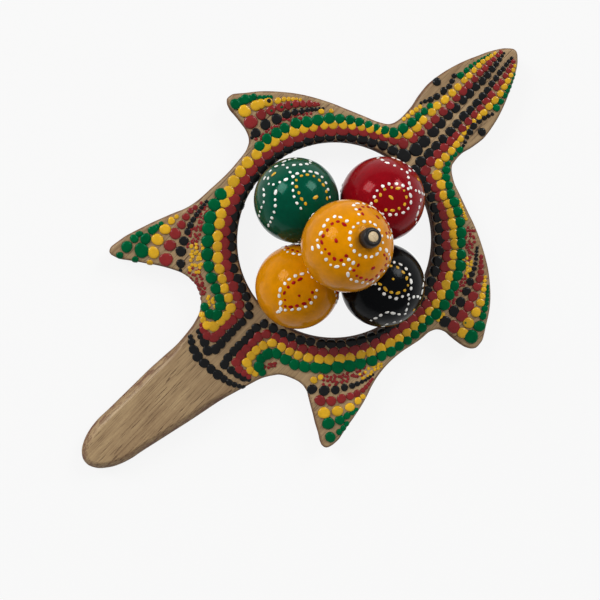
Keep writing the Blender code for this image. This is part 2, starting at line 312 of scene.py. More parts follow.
# %% [markdown]
# A pale floor lies under the board and sweeps up to a low wall all round, as in a photo studio. A flat sheet
# would end in a hard horizon when it is seen from the side. The floor is a stack of rings, skinned with
# four-sided faces, and one big face closes its middle. Most of what the camera sees of it is plain white, so
# that it stays pale in the board's own shadow, and glossy paint mirrors the same white.

# %% Floor finish
FLOOR_COLOUR = (0.56, 0.56, 0.55, 1.0)
FLOOR_DULLNESS = 0.9
FLOOR_WHITENESS = 0.88

floor_finish, tree, shader = new_finish("pale_floor")
fill(tree, shader, {"Base Color": FLOOR_COLOUR, "Roughness": FLOOR_DULLNESS})
ray = node(tree, "ShaderNodeLightPath").outputs
mirrored_ray = calc(tree, "MAXIMUM", ray["Is Glossy Ray"], ray["Is Transmission Ray"])
seen_ray = calc(tree, "MAXIMUM", ray["Is Camera Ray"], mirrored_ray)
white_share = calc(tree, "MULTIPLY", seen_ray, FLOOR_WHITENESS)
glow = node(tree, "ShaderNodeEmission").outputs[0]
whitened = node(tree, "ShaderNodeMixShader", {0: white_share, 1: shader.outputs[0], 2: glow}).outputs[0]
fill(tree, tree.nodes["Material Output"], {"Surface": whitened})
print("finish:", floor_finish.name)

# %% Floor shape
FLOOR_REACH = 4.0
FLOOR_SWEEP = 0.8
FLOOR_SIDES = 96
FLOOR_RINGS = 12


def ring_faces(index, closed=False):
    """Four-sided faces between neighbouring rows of a table of point numbers, each row a closed ring."""
    rows = np.vstack([index, index[:1]]) if closed else index
    here = rows[:-1]
    there = rows[1:]
    return np.stack([here, np.roll(here, -1, 1), np.roll(there, -1, 1), there], axis=-1).reshape(-1, 4)


def add_piece(name, points, faces, finish, smooth=True):
    """A mesh object at the origin, with its place in its points."""
    mesh = bpy.data.meshes.new(name)
    mesh.from_pydata(np.asarray(points).tolist(), [], faces, shade_flat=not smooth)
    mesh.materials.append(finish)
    piece = bpy.data.objects.new(name, mesh)
    bpy.context.scene.collection.objects.link(piece)
    return piece


floor_turn = np.linspace(0, 2 * np.pi, FLOOR_SIDES, endpoint=False)
floor_climb = np.linspace(0, np.pi / 2, FLOOR_RINGS)[:, None]
floor_radius = FLOOR_REACH - FLOOR_SWEEP * (1 - np.sin(floor_climb))
floor_height = FLOOR_SWEEP * (1 - np.cos(floor_climb)) + 0 * floor_turn
floor_plan = floor_radius * np.cos(floor_turn), floor_radius * np.sin(floor_turn)
floor_points = np.stack([*floor_plan, floor_height], axis=-1).reshape(-1, 3)
floor_index = np.arange(floor_height.size).reshape(floor_height.shape)
floor_faces = ring_faces(floor_index).tolist() + [floor_index[0].tolist()]
floor = add_piece("floor", floor_points, floor_faces, floor_finish, smooth=False)
print("floor faces", len(floor_faces))

# %% [markdown]
# ## Effects that several finishes share
#
# The wood of board, dowels and plug is the same pale timber, so its grain is one group: slow bands, fine
# streaks, short dark pores and a few long dark lines, each a noise that is drawn out along the grain. Pores
# are many where the grain is open and few elsewhere. All paint on the rattle is laid on freely, so a second
# group gives paint its uneven tone and skin. A third group is the soil of long use. A picture of wood could
# be wrapped round the parts, but it would stretch on their edges and repeat.

# %% Grain of the wood
BANDS = dict(scale=130, detail=3.0, squeeze=(0.10, 1.0, 1.0), low=0.36, high=0.66)
STREAKS = dict(scale=900, detail=3.0, squeeze=(0.035, 1.0, 1.0), low=0.36, high=0.66)
OPEN_GRAIN = dict(scale=70, detail=2.0, squeeze=(0.22, 1.0, 1.0), low=0.4, high=0.6, start=0.4)
PORES = dict(scale=1500, detail=1.0, squeeze=(0.05, 1.0, 1.0), low=0.6, high=0.65)
LINES = dict(scale=1300, detail=1.0, squeeze=(0.012, 1.0, 1.0), low=0.65, high=0.71)
LINE_DEPTH = 0.5
GRAIN_DULLNESS = (0.42, 0.6)
STREAK_RELIEF = -0.4

grain, given, result = shader_group(
    "plank_grain",
    {"Vector": VECTOR, "Light": COLOUR, "Dark": COLOUR, "Pore": COLOUR},
    {"Color": COLOUR, "Roughness": VALUE, "Height": VALUE},
)
bands, streaks, open_grain, pore_spots, lines = [
    patches(grain, given["Vector"], **pattern) for pattern in (BANDS, STREAKS, OPEN_GRAIN, PORES, LINES)
]
pores = calc(grain, "MULTIPLY", pore_spots, open_grain)
tone = calc(grain, "MULTIPLY", calc(grain, "ADD", bands, streaks), 0.5)
plain_wood = mix(grain, tone, given["Light"], given["Dark"])
pore_share = calc(grain, "MAXIMUM", pores, calc(grain, "MULTIPLY", lines, LINE_DEPTH))
fill(grain, result, {
    "Color": mix(grain, pore_share, plain_wood, given["Pore"]),
    "Roughness": ramp(grain, streaks, 0.0, 1.0, *GRAIN_DULLNESS),
    "Height": calc(grain, "SUBTRACT", calc(grain, "MULTIPLY", streaks, STREAK_RELIEF), pores),
})
print("group:", grain.name)

# %% Skin of the paint
CLOUDS = dict(scale=220, detail=3.0)
PEEL = dict(scale=1100, detail=2.0)
DARKEST_TONE = 0.62
CLOUD_TONE = 0.5
SHADE_TONE = 0.26
CLOUD_DULLNESS = 0.3
PEEL_RELIEF = 0.35

skin, given, result = shader_group(
    "paint_skin",
    {"Vector": VECTOR, "Color": COLOUR, "Shade": VALUE, "Dullness": VALUE},
    {"Color": COLOUR, "Roughness": VALUE, "Height": VALUE},
)
clouds = noise(skin, given["Vector"], **CLOUDS)
peel = noise(skin, given["Vector"], **PEEL)
cloud_tone = calc(skin, "MULTIPLY_ADD", clouds, CLOUD_TONE, DARKEST_TONE)
tone = calc(skin, "MULTIPLY_ADD", given["Shade"], SHADE_TONE, cloud_tone)
toned = node(skin, "ShaderNodeVectorMath", {0: given["Color"], "Scale": tone}, operation="SCALE")
uneven = calc(skin, "SUBTRACT", clouds, 0.5)
fill(skin, result, {
    "Color": toned.outputs[0],
    "Roughness": calc(skin, "MULTIPLY_ADD", uneven, CLOUD_DULLNESS, given["Dullness"]),
    "Height": calc(skin, "MULTIPLY_ADD", peel, PEEL_RELIEF, clouds),
})
print("group:", skin.name)

# %% Soil of handling
SMEARS = dict(scale=60, detail=4.0, low=0.42, high=0.72)
GRIME = dict(scale=700, detail=2.0, low=0.6, high=0.75)
GRIME_SHARE = 0.6

soil, given, result = shader_group("handling_soil", {"Vector": VECTOR, "Amount": VALUE}, {"Mask": VALUE})
smears = patches(soil, given["Vector"], **SMEARS)
grime = calc(soil, "MULTIPLY", patches(soil, given["Vector"], **GRIME), GRIME_SHARE)
soiled = calc(soil, "MAXIMUM", smears, grime)
fill(soil, result, {"Mask": calc(soil, "MULTIPLY", soiled, given["Amount"])})
print("group:", soil.name)

# %% [markdown]
# ## Wood finish
#
# The board is sanded but not varnished. Its faces are tan with fine streaks along the handle, the sawn walls
# are darker because end grain drinks the stain of use and air, and the wall of the hole is darkest: there
# the stain is deepened by painted shade, for little light reaches into the hole. The wall darkening could be
# painted on, but here it follows the way the surface faces, so the rounded edge blends from one tone to the
# other by itself. The bevel of the handle is rubbed pale by use, with reddish brown spots where it was left
# rough. The saw has left upright marks on the walls, which are a noise drawn out along the board's
# thickness. Use has soiled the handle and the head most, so the soil grows with the distance from the hole.

# %% Tones of the wood
LIGHT_WOOD = colour(180, 153, 114)
DARK_WOOD = colour(138, 111, 80)
WOOD_PORE = colour(74, 51, 36)
WALL_STAIN = colour(120, 86, 58)
WALL_DARK = colour(88, 59, 39)
# the hole's wall: its stain deepened by painted shade of the deep hole
HOLE_STAIN_AND_SHADE = colour(70, 42, 32)
SOIL_BROWN = colour(120, 92, 66)
RUB_BROWN = colour(104, 68, 50)
print("wood tones are set")

# %% Board wood
WALL_FACING = 0.4
FACE_FACING = 0.975
WALL_DEPTH = 0.88
HANDLE_FROM = -92 * MM
HANDLE_TO = -122 * MM
HANDLE_STAIN = 0.5
# painted shade: how strongly and how far in the wall of the hole is darkened beyond its stain
HOLE_DEPTH = 0.9
HOLE_DARKEST_TO = 57.2 * MM
HOLE_UNDARKENED_FROM = 58.8 * MM
SOIL_FROM = 90 * MM
SOIL_TO = 170 * MM
SOIL_AMOUNT = (0.3, 0.5)
SAW_MARKS = dict(scale=650, detail=3.0, squeeze=(1.0, 1.0, 0.07), low=0.36, high=0.64)
RUB_SPOTS = dict(scale=450, detail=3.0, squeeze=(0.35, 1.0, 1.0), low=0.48, high=0.58, end=1.7)
WALL_DULLNESS = 0.4
POLISH = 0.2
POLISH_END = 0.7
POLISH_DULLNESS = 0.3
WOOD_SHINE = 0.2

board_wood, tree, shader = new_finish("board_wood")
where = node(tree, "ShaderNodeTexCoord").outputs
plank = effect(tree, grain, Vector=where["Object"], Light=LIGHT_WOOD, Dark=DARK_WOOD, Pore=WOOD_PORE)
facing_up = node(tree, "ShaderNodeSeparateXYZ", {0: where["Normal"]}).outputs["Z"]
wall_turn = ramp(tree, calc(tree, "ABSOLUTE", facing_up), WALL_FACING, FACE_FACING, WALL_DEPTH, 0.0)
from_hole = vector_calc(tree, "SUBTRACT", where["Object"], (*hole.tolist(), 0.0))
from_hole = vector_calc(tree, "MULTIPLY", from_hole, (1.0, 1.0, 0.0))
hole_distance = vector_calc(tree, "LENGTH", from_hole)
towards_head = node(tree, "ShaderNodeSeparateXYZ", {0: from_hole}).outputs["X"]
worn_pale = ramp(tree, towards_head, HANDLE_TO, HANDLE_FROM, HANDLE_STAIN, 1.0)
wall_share = calc(tree, "MULTIPLY", wall_turn, worn_pale)
# painted shade: the wall of the hole is darkened, its stain and the shade of the deep hole in one
hole_wall = ramp(tree, hole_distance, HOLE_DARKEST_TO, HOLE_UNDARKENED_FROM, HOLE_DEPTH, 0.0)
hole_share = calc(tree, "MULTIPLY", hole_wall, wall_share)
handled = ramp(tree, hole_distance, SOIL_FROM, SOIL_TO, *SOIL_AMOUNT)
soil_and_shade = effect(tree, soil, Vector=where["Object"], Amount=handled)["Mask"]
saw_marks = patches(tree, where["Object"], **SAW_MARKS)
rub_spots = patches(tree, where["Object"], **RUB_SPOTS)
print("masks of the board wood are ready")

# %% Lay the tones of the board wood over each other
walled = mix(tree, wall_share, plank["Color"], mix(tree, saw_marks, WALL_STAIN, WALL_DARK))
rubbed_and_shaded = mix(tree, calc(tree, "MULTIPLY", rub_spots, wall_turn), walled, RUB_BROWN)
holed = mix(tree, hole_share, rubbed_and_shaded, HOLE_STAIN_AND_SHADE)
sawn_relief = calc(tree, "MULTIPLY_ADD", saw_marks, wall_share, plank["Height"])
fill(tree, shader, {
    "Base Color": mix(tree, soil_and_shade, holed, SOIL_BROWN),
    "Roughness": calc(tree, "MULTIPLY_ADD", wall_share, WALL_DULLNESS, plank["Roughness"]),
    "Normal": bumped(tree, sawn_relief, strength=0.35, depth=0.15 * MM),
    "Coat Weight": ramp(tree, wall_share, 0.0, POLISH_END, POLISH, 0.0),
    "Coat Roughness": POLISH_DULLNESS,
    "Specular IOR Level": WOOD_SHINE,
})
print("finish:", board_wood.name)

# %% [markdown]
# ## The sawn outline
#
# The turtle is sawn freehand, so its outline is no formula. It could be drawn again stop by stop, but the
# CAD board has it already. The corners at the top of its straight wall are joined by edges, and walking
# those edges gives the corners in order. A smooth line through them, read off at even steps, is what the
# finished edge is carried along.

# %% Smooth lines, and corners put in order
def smooth_line(stops, per_span, closed=False):
    """A line through all stops: between two stops it is the cubic whose slope at each stop is half the way
    from the stop before to the stop after."""
    stops = np.asarray(stops, dtype=float)
    if len(stops) == 1:
        return stops
    before = np.roll(stops, 1, axis=0)
    after = np.roll(stops, -1, axis=0)
    if not closed:
        before[0] = 2 * stops[0] - stops[1]
        after[-1] = 2 * stops[-1] - stops[-2]
    slope = (after - before) / 2
    ends = np.roll(stops, -1, axis=0)
    end_slope = np.roll(slope, -1, axis=0)
    t = (np.arange(per_span) / per_span)[None, :, None]
    spans = (
        (2 * t ** 3 - 3 * t ** 2 + 1) * stops[:, None] + (t ** 3 - 2 * t ** 2 + t) * slope[:, None]
        + (3 * t ** 2 - 2 * t ** 3) * ends[:, None] + (t ** 3 - t ** 2) * end_slope[:, None]
    )
    if closed:
        return spans.reshape(-1, stops.shape[1])
    return np.vstack([spans[:-1].reshape(-1, stops.shape[1]), stops[-1:]])


def walk_round(pairs):
    """The corners of one closed line in order, from each on to the neighbour that it didn't come from."""
    neighbours = {}
    for first, second in pairs.tolist():
        neighbours.setdefault(first, []).append(second)
        neighbours.setdefault(second, []).append(first)
    path = [int(pairs[0, 0]), int(pairs[0, 1])]
    while path[0] not in neighbours[path[-1]] or len(path) == 2:
        path.append([corner for corner in neighbours[path[-1]] if corner != path[-2]][0])
    return path


print("a smooth line through three stops has", len(smooth_line([[0, 0], [1, 1], [2, 0]], 8)), "points")

# %% Walk round the board's outline
RING_CLEAR = 9 * MM
SAME_LEVEL = 0.001 * MM

board_points = node_points("turtle_board")
board_mesh = frame["nodes"]["turtle_board"].data
board_edges = np.empty(2 * len(board_mesh.edges), dtype=np.int32)
board_mesh.edges.foreach_get("vertices", board_edges)
corner_points, corner_of = np.unique(board_points.round(6), axis=0, return_inverse=True)
corner_edges = np.unique(np.sort(corner_of.ravel()[board_edges.reshape(-1, 2)], axis=1), axis=0)
corner_reach = np.linalg.norm(corner_points[:, :2] - hole, axis=1)
outside = (corner_reach > corner_reach.min() + RING_CLEAR) & (corner_points[:, 2] > thickness / 2)
wall_top = corner_points[outside, 2].min()
on_wall_top = np.abs(corner_points[:, 2] - wall_top) < SAME_LEVEL
hole_radius = corner_reach[on_wall_top & ~outside].max()
edge_round = thickness - wall_top

on_line = on_wall_top & outside
line_edges = corner_edges[on_line[corner_edges].all(axis=1)]
outline_corners = corner_points[walk_round(line_edges)][:, :2] - hole
print("outline corners", len(outline_corners))
print("hole radius", round(hole_radius / MM, 2), "mm, edge round", round(edge_round / MM, 2), "mm")

# %% [markdown]
# ## The board
#
# On the real board the sawn edge is rounded with a rasp, softly on flippers and head, and on the handle it
# is a wide worn bevel that is good to grip. A bevel tool would give one radius all round. Here the edge
# profile is carried along the outline instead: a short flat, a quarter round, the wall, a second quarter
# round and a short flat. Its radius and its bend change on the way, and a quarter round with a stronger bend
# is almost a straight bevel. The wall of the hole is made the same way along a circle. The flat faces
# between the two edges are then filled with triangles.

# %% Edge profile carried along a line
SHELF = 0.4 * MM
ROUND_STEPS = 9


def evenly(line, count):
    """A closed line read off at even steps of its length."""
    looped = np.vstack([line, line[:1]])
    length = np.append(0, np.cumsum(np.linalg.norm(np.diff(looped, axis=0), axis=1)))
    at = np.linspace(0, length[-1], count, endpoint=False)
    return np.stack([np.interp(at, length, column) for column in looped.T], axis=1)


def into_the_left(line):
    """Unit vectors to the left of a closed line: the step past each point, turned by a quarter."""
    step = np.roll(line, -1, axis=0) - np.roll(line, 1, axis=0)
    return unit(np.stack([-step[:, 1], step[:, 0]], axis=1))


def edge_rows(line, into, rounding, bend):
    """The board's edge as a grid of rows by points: row by row the profile goes from the top shelf over a
    quarter round down the wall and back under, set in from the line along its square direction. The quarter
    round is a circle whose sine and cosine are raised to the bend: 1 is round, 2 is straight."""
    turn = np.linspace(0, np.pi / 2, ROUND_STEPS)[:, None]
    round_in = rounding * (1 - np.sin(turn) ** bend)
    round_down = rounding * (1 - np.abs(np.cos(turn)) ** bend)
    shelf_in = rounding[None] + SHELF
    inset = np.vstack([shelf_in, round_in, round_in[::-1], shelf_in])
    height = np.vstack([
        np.full_like(shelf_in, thickness), thickness - round_down, round_down[::-1], np.zeros_like(shelf_in)
    ])
    plan = line[None] + into[None] * inset[..., None]
    return np.concatenate([plan, height[..., None]], axis=2)


print("rows of the edge profile", 2 * ROUND_STEPS + 2)

# %% Edge grids of the outline and the hole
OUTLINE_STEPS = 1100
OUTLINE_SPAN = 12
HOLE_STEPS = 360
HANDLE_ROUND = 4.6 * MM
HANDLE_BEND = 1.5

outline = evenly(smooth_line(outline_corners, OUTLINE_SPAN, closed=True), OUTLINE_STEPS)
area_twice = np.sum(outline[:, 0] * np.roll(outline[:, 1], -1) - outline[:, 1] * np.roll(outline[:, 0], -1))
outline = outline if area_twice > 0 else outline[::-1]
headings = np.arctan2(outline[:, 1], outline[:, 0])
outline = np.roll(outline, -np.argmin(np.abs(headings)), axis=0)
outline_into = into_the_left(outline)
handle_share = np.clip((HANDLE_FROM - outline[:, 0]) / (HANDLE_FROM - HANDLE_TO), 0, 1)
handle_share = handle_share ** 2 * (3 - 2 * handle_share)
outline_round = edge_round + (HANDLE_ROUND - edge_round) * handle_share
outline_bend = 1 + (HANDLE_BEND - 1) * handle_share

rim_turn = np.linspace(0, 2 * np.pi, HOLE_STEPS, endpoint=False)
rim_into = np.stack([np.cos(rim_turn), np.sin(rim_turn)], axis=1)
rim = hole_radius * rim_into
outer_rows = edge_rows(outline + hole, outline_into, outline_round, outline_bend)
inner_rows = edge_rows(rim + hole, rim_into, np.full(HOLE_STEPS, edge_round), 1.0)
print("edge grids", outer_rows.shape[:2], inner_rows.shape[:2])

# %% Join the edges and the faces to a board
outer_index = np.arange(outer_rows[..., 0].size).reshape(outer_rows.shape[:2])
inner_index = outer_index.size + np.arange(inner_rows[..., 0].size).reshape(inner_rows.shape[:2])
board_grid = np.concatenate([outer_rows.reshape(-1, 3), inner_rows.reshape(-1, 3)])


def flat_face(row):
    """Triangles between the outline and the hole on one side of the board: the two loops of one row of the
    edge grids bound the face, and the numbers of the filled triangles are carried back to the grid."""
    loops = [outer_index[row], inner_index[row][::-1]]
    bounds = [[mathutils.Vector(point) for point in board_grid[loop]] for loop in loops]
    triangles = np.array(mathutils.geometry.tessellate_polygon(bounds))
    filled = np.concatenate(loops)[triangles]
    first, second, third = board_grid[filled][..., :2].transpose(1, 0, 2)
    turn = np.cross(second - first, third - first)
    area = float(np.abs(turn).sum()) / 2
    print("flat face", len(filled), "triangles, area", round(area / (10 * MM) ** 2, 2), "square cm")
    return np.where((turn > 0)[:, None] == (row == 0), filled, filled[:, ::-1])


flat_faces = np.vstack([flat_face(0), flat_face(-1)])
edge_quads = np.vstack([ring_faces(outer_index)[:, ::-1], ring_faces(inner_index)])
board = add_piece("board", board_grid, edge_quads.tolist() + flat_faces.tolist(), board_wood)
is_edge = np.arange(len(edge_quads) + len(flat_faces)) < len(edge_quads)
board.data.polygons.foreach_set("use_smooth", is_edge)
print("board faces", len(is_edge))

# %% [markdown]
# ## From arrays to pieces
#
# Every other part of the rattle is turned, so its shape is a profile on rings. A Screw modifier turns a
# profile too, but rings that are numbers can still be bent and cut one by one. These helpers turn a profile
# about an axis, skin the stack of rings and close its ends, with the faces outwards. Two more drill a piece
# with another piece and hang the finished one on the body of the frame that it moves with.

# %% Helpers for turned pieces
UPRIGHT = np.array([0.0, 0.0, 1.0])
SIDEWAYS = np.array([1.0, 0.0, 0.0])
NEARLY_UPRIGHT = 0.9


def skin_rings(rings, closed=False):
    """Points and faces of a stack of rings; an open stack gets one flat face at each end. The volume between
    the faces and the middle tells whether they point outwards, and if it is negative all are turned."""
    count, sides = rings.shape[:2]
    index = np.arange(count * sides).reshape(count, sides)
    points = rings.reshape(-1, 3)
    quads = ring_faces(index, closed)
    first, second, third, fourth = (points[quads] - points.mean(axis=0)).transpose(1, 0, 2)
    volume = np.sum(np.cross(second, third) * first) + np.sum(np.cross(third, fourth) * first)
    caps = [] if closed else [index[0, ::-1].tolist(), index[-1].tolist()]
    faces = quads.tolist() + caps
    return points, faces if volume > 0 else [face[::-1] for face in faces]


def side_axes(axis, towards):
    """Two unit vectors square to an axis and to each other, the first nearest to a wanted direction."""
    first = unit(towards - axis * (towards @ axis))
    return first, np.cross(axis, first)


def turned_rings(profile, centre, axis, sides):
    """A profile of radius and height turned about an axis: each ring's points are the centre plus height
    along the axis plus radius times a full circle."""
    first, second = side_axes(axis, UPRIGHT if abs(axis[2]) < NEARLY_UPRIGHT else SIDEWAYS)
    turn = np.linspace(0, 2 * np.pi, sides, endpoint=False)
    circle = np.cos(turn)[:, None] * first + np.sin(turn)[:, None] * second
    radius, height = np.asarray(profile).T
    return centre + height[:, None, None] * axis + radius[:, None, None] * circle[None]


print("turning helpers ready")

# %% Helpers that drill a piece and hang it on its body
def drill(piece, cutter):
    """Cuts a tool's shape out of a piece for good, and takes the tool away."""
    cut = piece.modifiers.new("drill", "BOOLEAN")
    cut.operation = "DIFFERENCE"
    cut.solver = "EXACT"
    cut.object = cutter
    drilled = bpy.data.meshes.new_from_object(piece.evaluated_get(bpy.context.evaluated_depsgraph_get()))
    piece.modifiers.clear()
    piece.data = drilled
    bpy.data.objects.remove(cutter)


def settle(piece, body, nodes=()):
    """Hangs a finished piece on its body and hides the CAD nodes that it stands for."""
    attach(piece, body)
    if nodes:
        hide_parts(*nodes)
    print("piece", piece.name, "faces", len(piece.data.polygons), "on", body)


print("drill ready")

# %% [markdown]
# ## Dowels
#
# Four thin rods are glued into holes that are drilled through the ring at a slant, and each is trimmed flush
# with the back. A cylinder from the menu would end square. Here a rod is a profile turned about the dowel's
# axis, but its lower end is cut by the plane of the back, so there the height of each point on the last ring
# is solved for that plane. The same rods, a little thicker, are the tools that drill the board and the
# crown.

# %% Measure and shape the dowels
DOWEL_SIDES = 40
ROD_RINGS = 30
ROD_EASE = 12


def along_and_off(name, nodes):
    """How far the corners of some CAD nodes lie along a ball's axis from its centre, and how far off it."""
    offset = np.concatenate([node_points(item) for item in nodes]) - ball_centre[name]
    height = offset @ ball_axis[name]
    return height, np.linalg.norm(offset - height[:, None] * ball_axis[name], axis=1)


def dowel_reach(colour_name):
    """Radius of a CAD dowel, its upper end's height above the ball's centre, and its cut end's level."""
    dowel_node = colour_name + "_dowel"
    height, distance = along_and_off(colour_name, [dowel_node])
    return distance.max(), height.max(), node_points(dowel_node)[:, 2].min()


def rod_rings(colour_name, radius, top, level, chamfer):
    """A slanted rod as rings: chamfered upper end, the side, and a lower end in the plane of one level,
    where each point slides along the axis by its distance to that level over the axis's own rise."""
    centre = ball_centre[colour_name]
    axis = ball_axis[colour_name]
    lowest = (level - centre[2]) / axis[2]
    heights = np.linspace(top - chamfer, lowest, ROD_RINGS)
    side = np.column_stack([np.full(ROD_RINGS, radius), heights])
    profile = np.vstack([[radius - chamfer, top], side])
    rings = turned_rings(profile, centre, axis, DOWEL_SIDES)
    slide = (level - rings[-1, :, 2]) / axis[2]
    share = np.clip((top - profile[:, 1]) / (top - lowest), 0, 1) ** ROD_EASE
    return rings + share[:, None, None] * slide[None, :, None] * axis


print("dowel radii in mm", {name: round(dowel_reach(name)[0] / MM, 2) for name in COLOURS})

# %% Drill the board
DRILL_PLAY = 0.15 * MM
DRILL_BELOW = 8 * MM
DRILL_CHAMFER = 0.1 * MM


def drilling_tool():
    """One mesh of all the dowels, thicker by the play and running on below the back."""
    points = []
    faces = []
    for colour_name in COLOURS:
        radius, top, level = dowel_reach(colour_name)
        size = radius + DRILL_PLAY, top + DRILL_PLAY, level - DRILL_BELOW
        rod, rod_faces = skin_rings(rod_rings(colour_name, *size, DRILL_CHAMFER))
        start = sum(len(group) for group in points)
        faces += [[start + corner for corner in face] for face in rod_faces]
        points.append(rod)
    return add_piece("drilling_tool", np.concatenate(points), faces, board_wood)


drill(board, drilling_tool())
settle(board, "frame", ["turtle_board"])

# %% [markdown]
# Dowels and plug are the same pale timber as the board, but their grain runs along each rod. A material
# can't know that direction, so every rod carries an attribute: its points in the rod's own axes.

# %% Rod wood and the dowels
DOWEL_CHAMFER = 0.5 * MM
PALE_WOOD = colour(216, 196, 158)
PALE_DARK = colour(184, 158, 118)
ROD_SIDE = np.array([0.3, 0.5, 0.8])


def rod_space(piece, centre, axis):
    """Stores each point's place along and across an axis, so that grain can follow the rod."""
    flat = np.empty(3 * len(piece.data.vertices), dtype=np.float32)
    piece.data.vertices.foreach_get("co", flat)
    offset = flat.reshape(-1, 3) - centre
    first, second = side_axes(axis, ROD_SIDE)
    local = np.stack([offset @ axis, offset @ first, offset @ second], axis=1).astype(np.float32)
    piece.data.attributes.new("rod_space", "FLOAT_VECTOR", "POINT").data.foreach_set("vector", local.ravel())


rod_wood, tree, shader = new_finish("rod_wood")
place = node(tree, "ShaderNodeAttribute", attribute_name="rod_space").outputs["Vector"]
rod_grain = effect(tree, grain, Vector=place, Light=PALE_WOOD, Dark=PALE_DARK, Pore=WOOD_PORE)
dress(tree, shader, rod_grain, strength=0.3, depth=0.1 * MM)

for colour_name in COLOURS:
    rings = rod_rings(colour_name, *dowel_reach(colour_name), DOWEL_CHAMFER)
    dowel = add_piece(colour_name + "_rod", *skin_rings(rings), rod_wood)
    rod_space(dowel, ball_centre[colour_name], ball_axis[colour_name])
    settle(dowel, "frame", [colour_name + "_dowel"])

# %% [markdown]
# ## Lacquered balls
#
# Each ball is turned as two half shells, glued, filled flush and sprayed with thick lacquer, so no seam is
# left to see. A sphere from the menu would have no bore and no wall. The profile here runs over the outside,
# round a small lip into the bore, and back along the inside, and turning it about the dowel makes a closed
# shell. The gloss of the lacquer takes on the paint's own colour, which keeps the dark sides deep, and a
# thin clear coat over it gives the small pale glints.

# %% Lacquer finish
LACQUERS = {
    "red": dict(paint=colour(130, 7, 19), shine=0.2, glint=(1.0, 0.05, 0.06, 1.0), clear=0.11),
    "green": dict(paint=colour(0, 70, 50), shine=0.22, glint=(0.03, 0.5, 0.35, 1.0), clear=0.11),
    "yellow": dict(paint=colour(211, 134, 1), shine=0.15, glint=(1.0, 0.45, 0.02, 1.0), clear=0.08),
    "black": dict(paint=colour(7, 8, 10), shine=0.09, glint=(0.9, 0.95, 1.0, 1.0), clear=0.0),
}
MIDDLE_SHADE = 0.5
LACQUER_DULLNESS = 0.14
CLEAR_DULLNESS = 0.07
# painted shadow of the crown's collar, with a little dirt: its tone, reach and patches on the lacquer
NUB_SHADOW_TONE = colour(92, 66, 34)
NUB_SHADOW_FROM = 5.0 * MM
NUB_SHADOW_TO = 8.5 * MM
NUB_SHADOW_DEPTH = 0.75
NUB_SHADOW_PATCHES = dict(scale=260, detail=3.0, low=0.35, high=0.65, start=0.25)

nub_foot = ball_centre["crown"] + ball_radius["crown"] * ball_axis["crown"]


def lacquer(name, paint, shine, glint, clear):
    """Sprayed lacquer: clouded colour, gloss that comes and goes a little, and a skin like orange peel.
    Round the place where the crown's collar stands, the lacquer is darkened by painted shadow of the collar,
    with a little dirt."""
    material, tree, shader = new_finish(name + "_lacquer")
    place = node(tree, "ShaderNodeTexCoord").outputs["Object"]
    coat = effect(tree, skin, Vector=place, Color=paint, Shade=MIDDLE_SHADE, Dullness=LACQUER_DULLNESS)
    from_nub = vector_calc(tree, "DISTANCE", place, nub_foot.tolist())
    # painted shadow round the collar's foot, broken into patches, with a little dirt
    rubbed_and_shaded = ramp(tree, from_nub, NUB_SHADOW_FROM, NUB_SHADOW_TO, NUB_SHADOW_DEPTH, 0.0)
    soil_and_shade = calc(tree, "MULTIPLY", rubbed_and_shaded, patches(tree, place, **NUB_SHADOW_PATCHES))
    tint = mix(tree, soil_and_shade, coat["Color"], NUB_SHADOW_TONE)
    dress(tree, shader, coat, strength=0.34, depth=0.5 * MM, tint=tint)
    fill(tree, shader, {
        "Specular IOR Level": shine,
        "Specular Tint": glint,
        "Coat Weight": clear,
        "Coat Roughness": CLEAR_DULLNESS,
    })
    return material


ball_lacquer = {name: lacquer(name, **values) for name, values in LACQUERS.items()}
ball_lacquer["crown"] = ball_lacquer["yellow"]
print("lacquers:", list(LACQUERS))

# %% Profiles of the balls
ARC_STEPS = 60
LIP = 0.6 * MM
LIP_STEPS = 5


def lip_points(outer, bore):
    """A quarter circle from the sphere round into the bore, as radius and height."""
    turn = np.linspace(0, np.pi / 2, LIP_STEPS)
    top = np.sqrt(outer ** 2 - (bore + LIP) ** 2)
    return np.column_stack([bore + LIP * (1 - np.sin(turn)), top - LIP * (1 - np.cos(turn))])


def arc_points(radius, start, end):
    """Part of a half circle from one polar angle to another, as radius and height."""
    polar = np.linspace(start, end, ARC_STEPS)
    return np.column_stack([radius * np.sin(polar), radius * np.cos(polar)])


def bored_shell(outer, inner, bore):
    """Closed profile of a ball with a bore through both poles: outside arc, lip, inside arc and lip."""
    lip = lip_points(outer, bore)
    lip_angle = np.arcsin((bore + LIP) / outer)
    bore_angle = np.arcsin(bore / inner)
    outside_arc = arc_points(outer, lip_angle, np.pi - lip_angle)[1:-1]
    inside_arc = arc_points(inner, np.pi - bore_angle, bore_angle)
    return np.vstack([outside_arc, lip * (1, -1), inside_arc, lip[::-1]])


print("points of an arc", len(arc_points(1.0, 0.0, np.pi)))

# %% Turn the balls
BALL_SIDES = 112

for colour_name in COLOURS:
    halves = [colour_name + "_ball_inner", colour_name + "_ball_outer"]
    height, distance = along_and_off(colour_name, halves)
    profile = bored_shell(ball_radius[colour_name], np.hypot(height, distance).min(), distance.min())
    rings = turned_rings(profile, ball_centre[colour_name], ball_axis[colour_name], BALL_SIDES)
    ball = add_piece(colour_name + "_ball", *skin_rings(rings, closed=True), ball_lacquer[colour_name])
    settle(ball, colour_name + "_ball", halves)

# %% [markdown]
# The crown ball has one bore along its own axis, for the plug, and four slanted sockets below, where the
# dowels are glued in. Its profile is closed at the lower pole, and the same drilling tool that went through
# the board opens the sockets.

# %% Turn and drill the crown
NEARLY_POLE = np.pi - 0.004


def capped_shell(outer, inner, bore):
    """Profile of a ball with a bore through one pole only, from the closed pole's inside to its outside."""
    lip_angle = np.arcsin((bore + LIP) / outer)
    bore_angle = np.arcsin(bore / inner)
    inside_arc = arc_points(inner, NEARLY_POLE, bore_angle)
    outside_arc = arc_points(outer, lip_angle, NEARLY_POLE)[1:]
    return np.vstack([inside_arc, lip_points(outer, bore)[::-1], outside_arc])


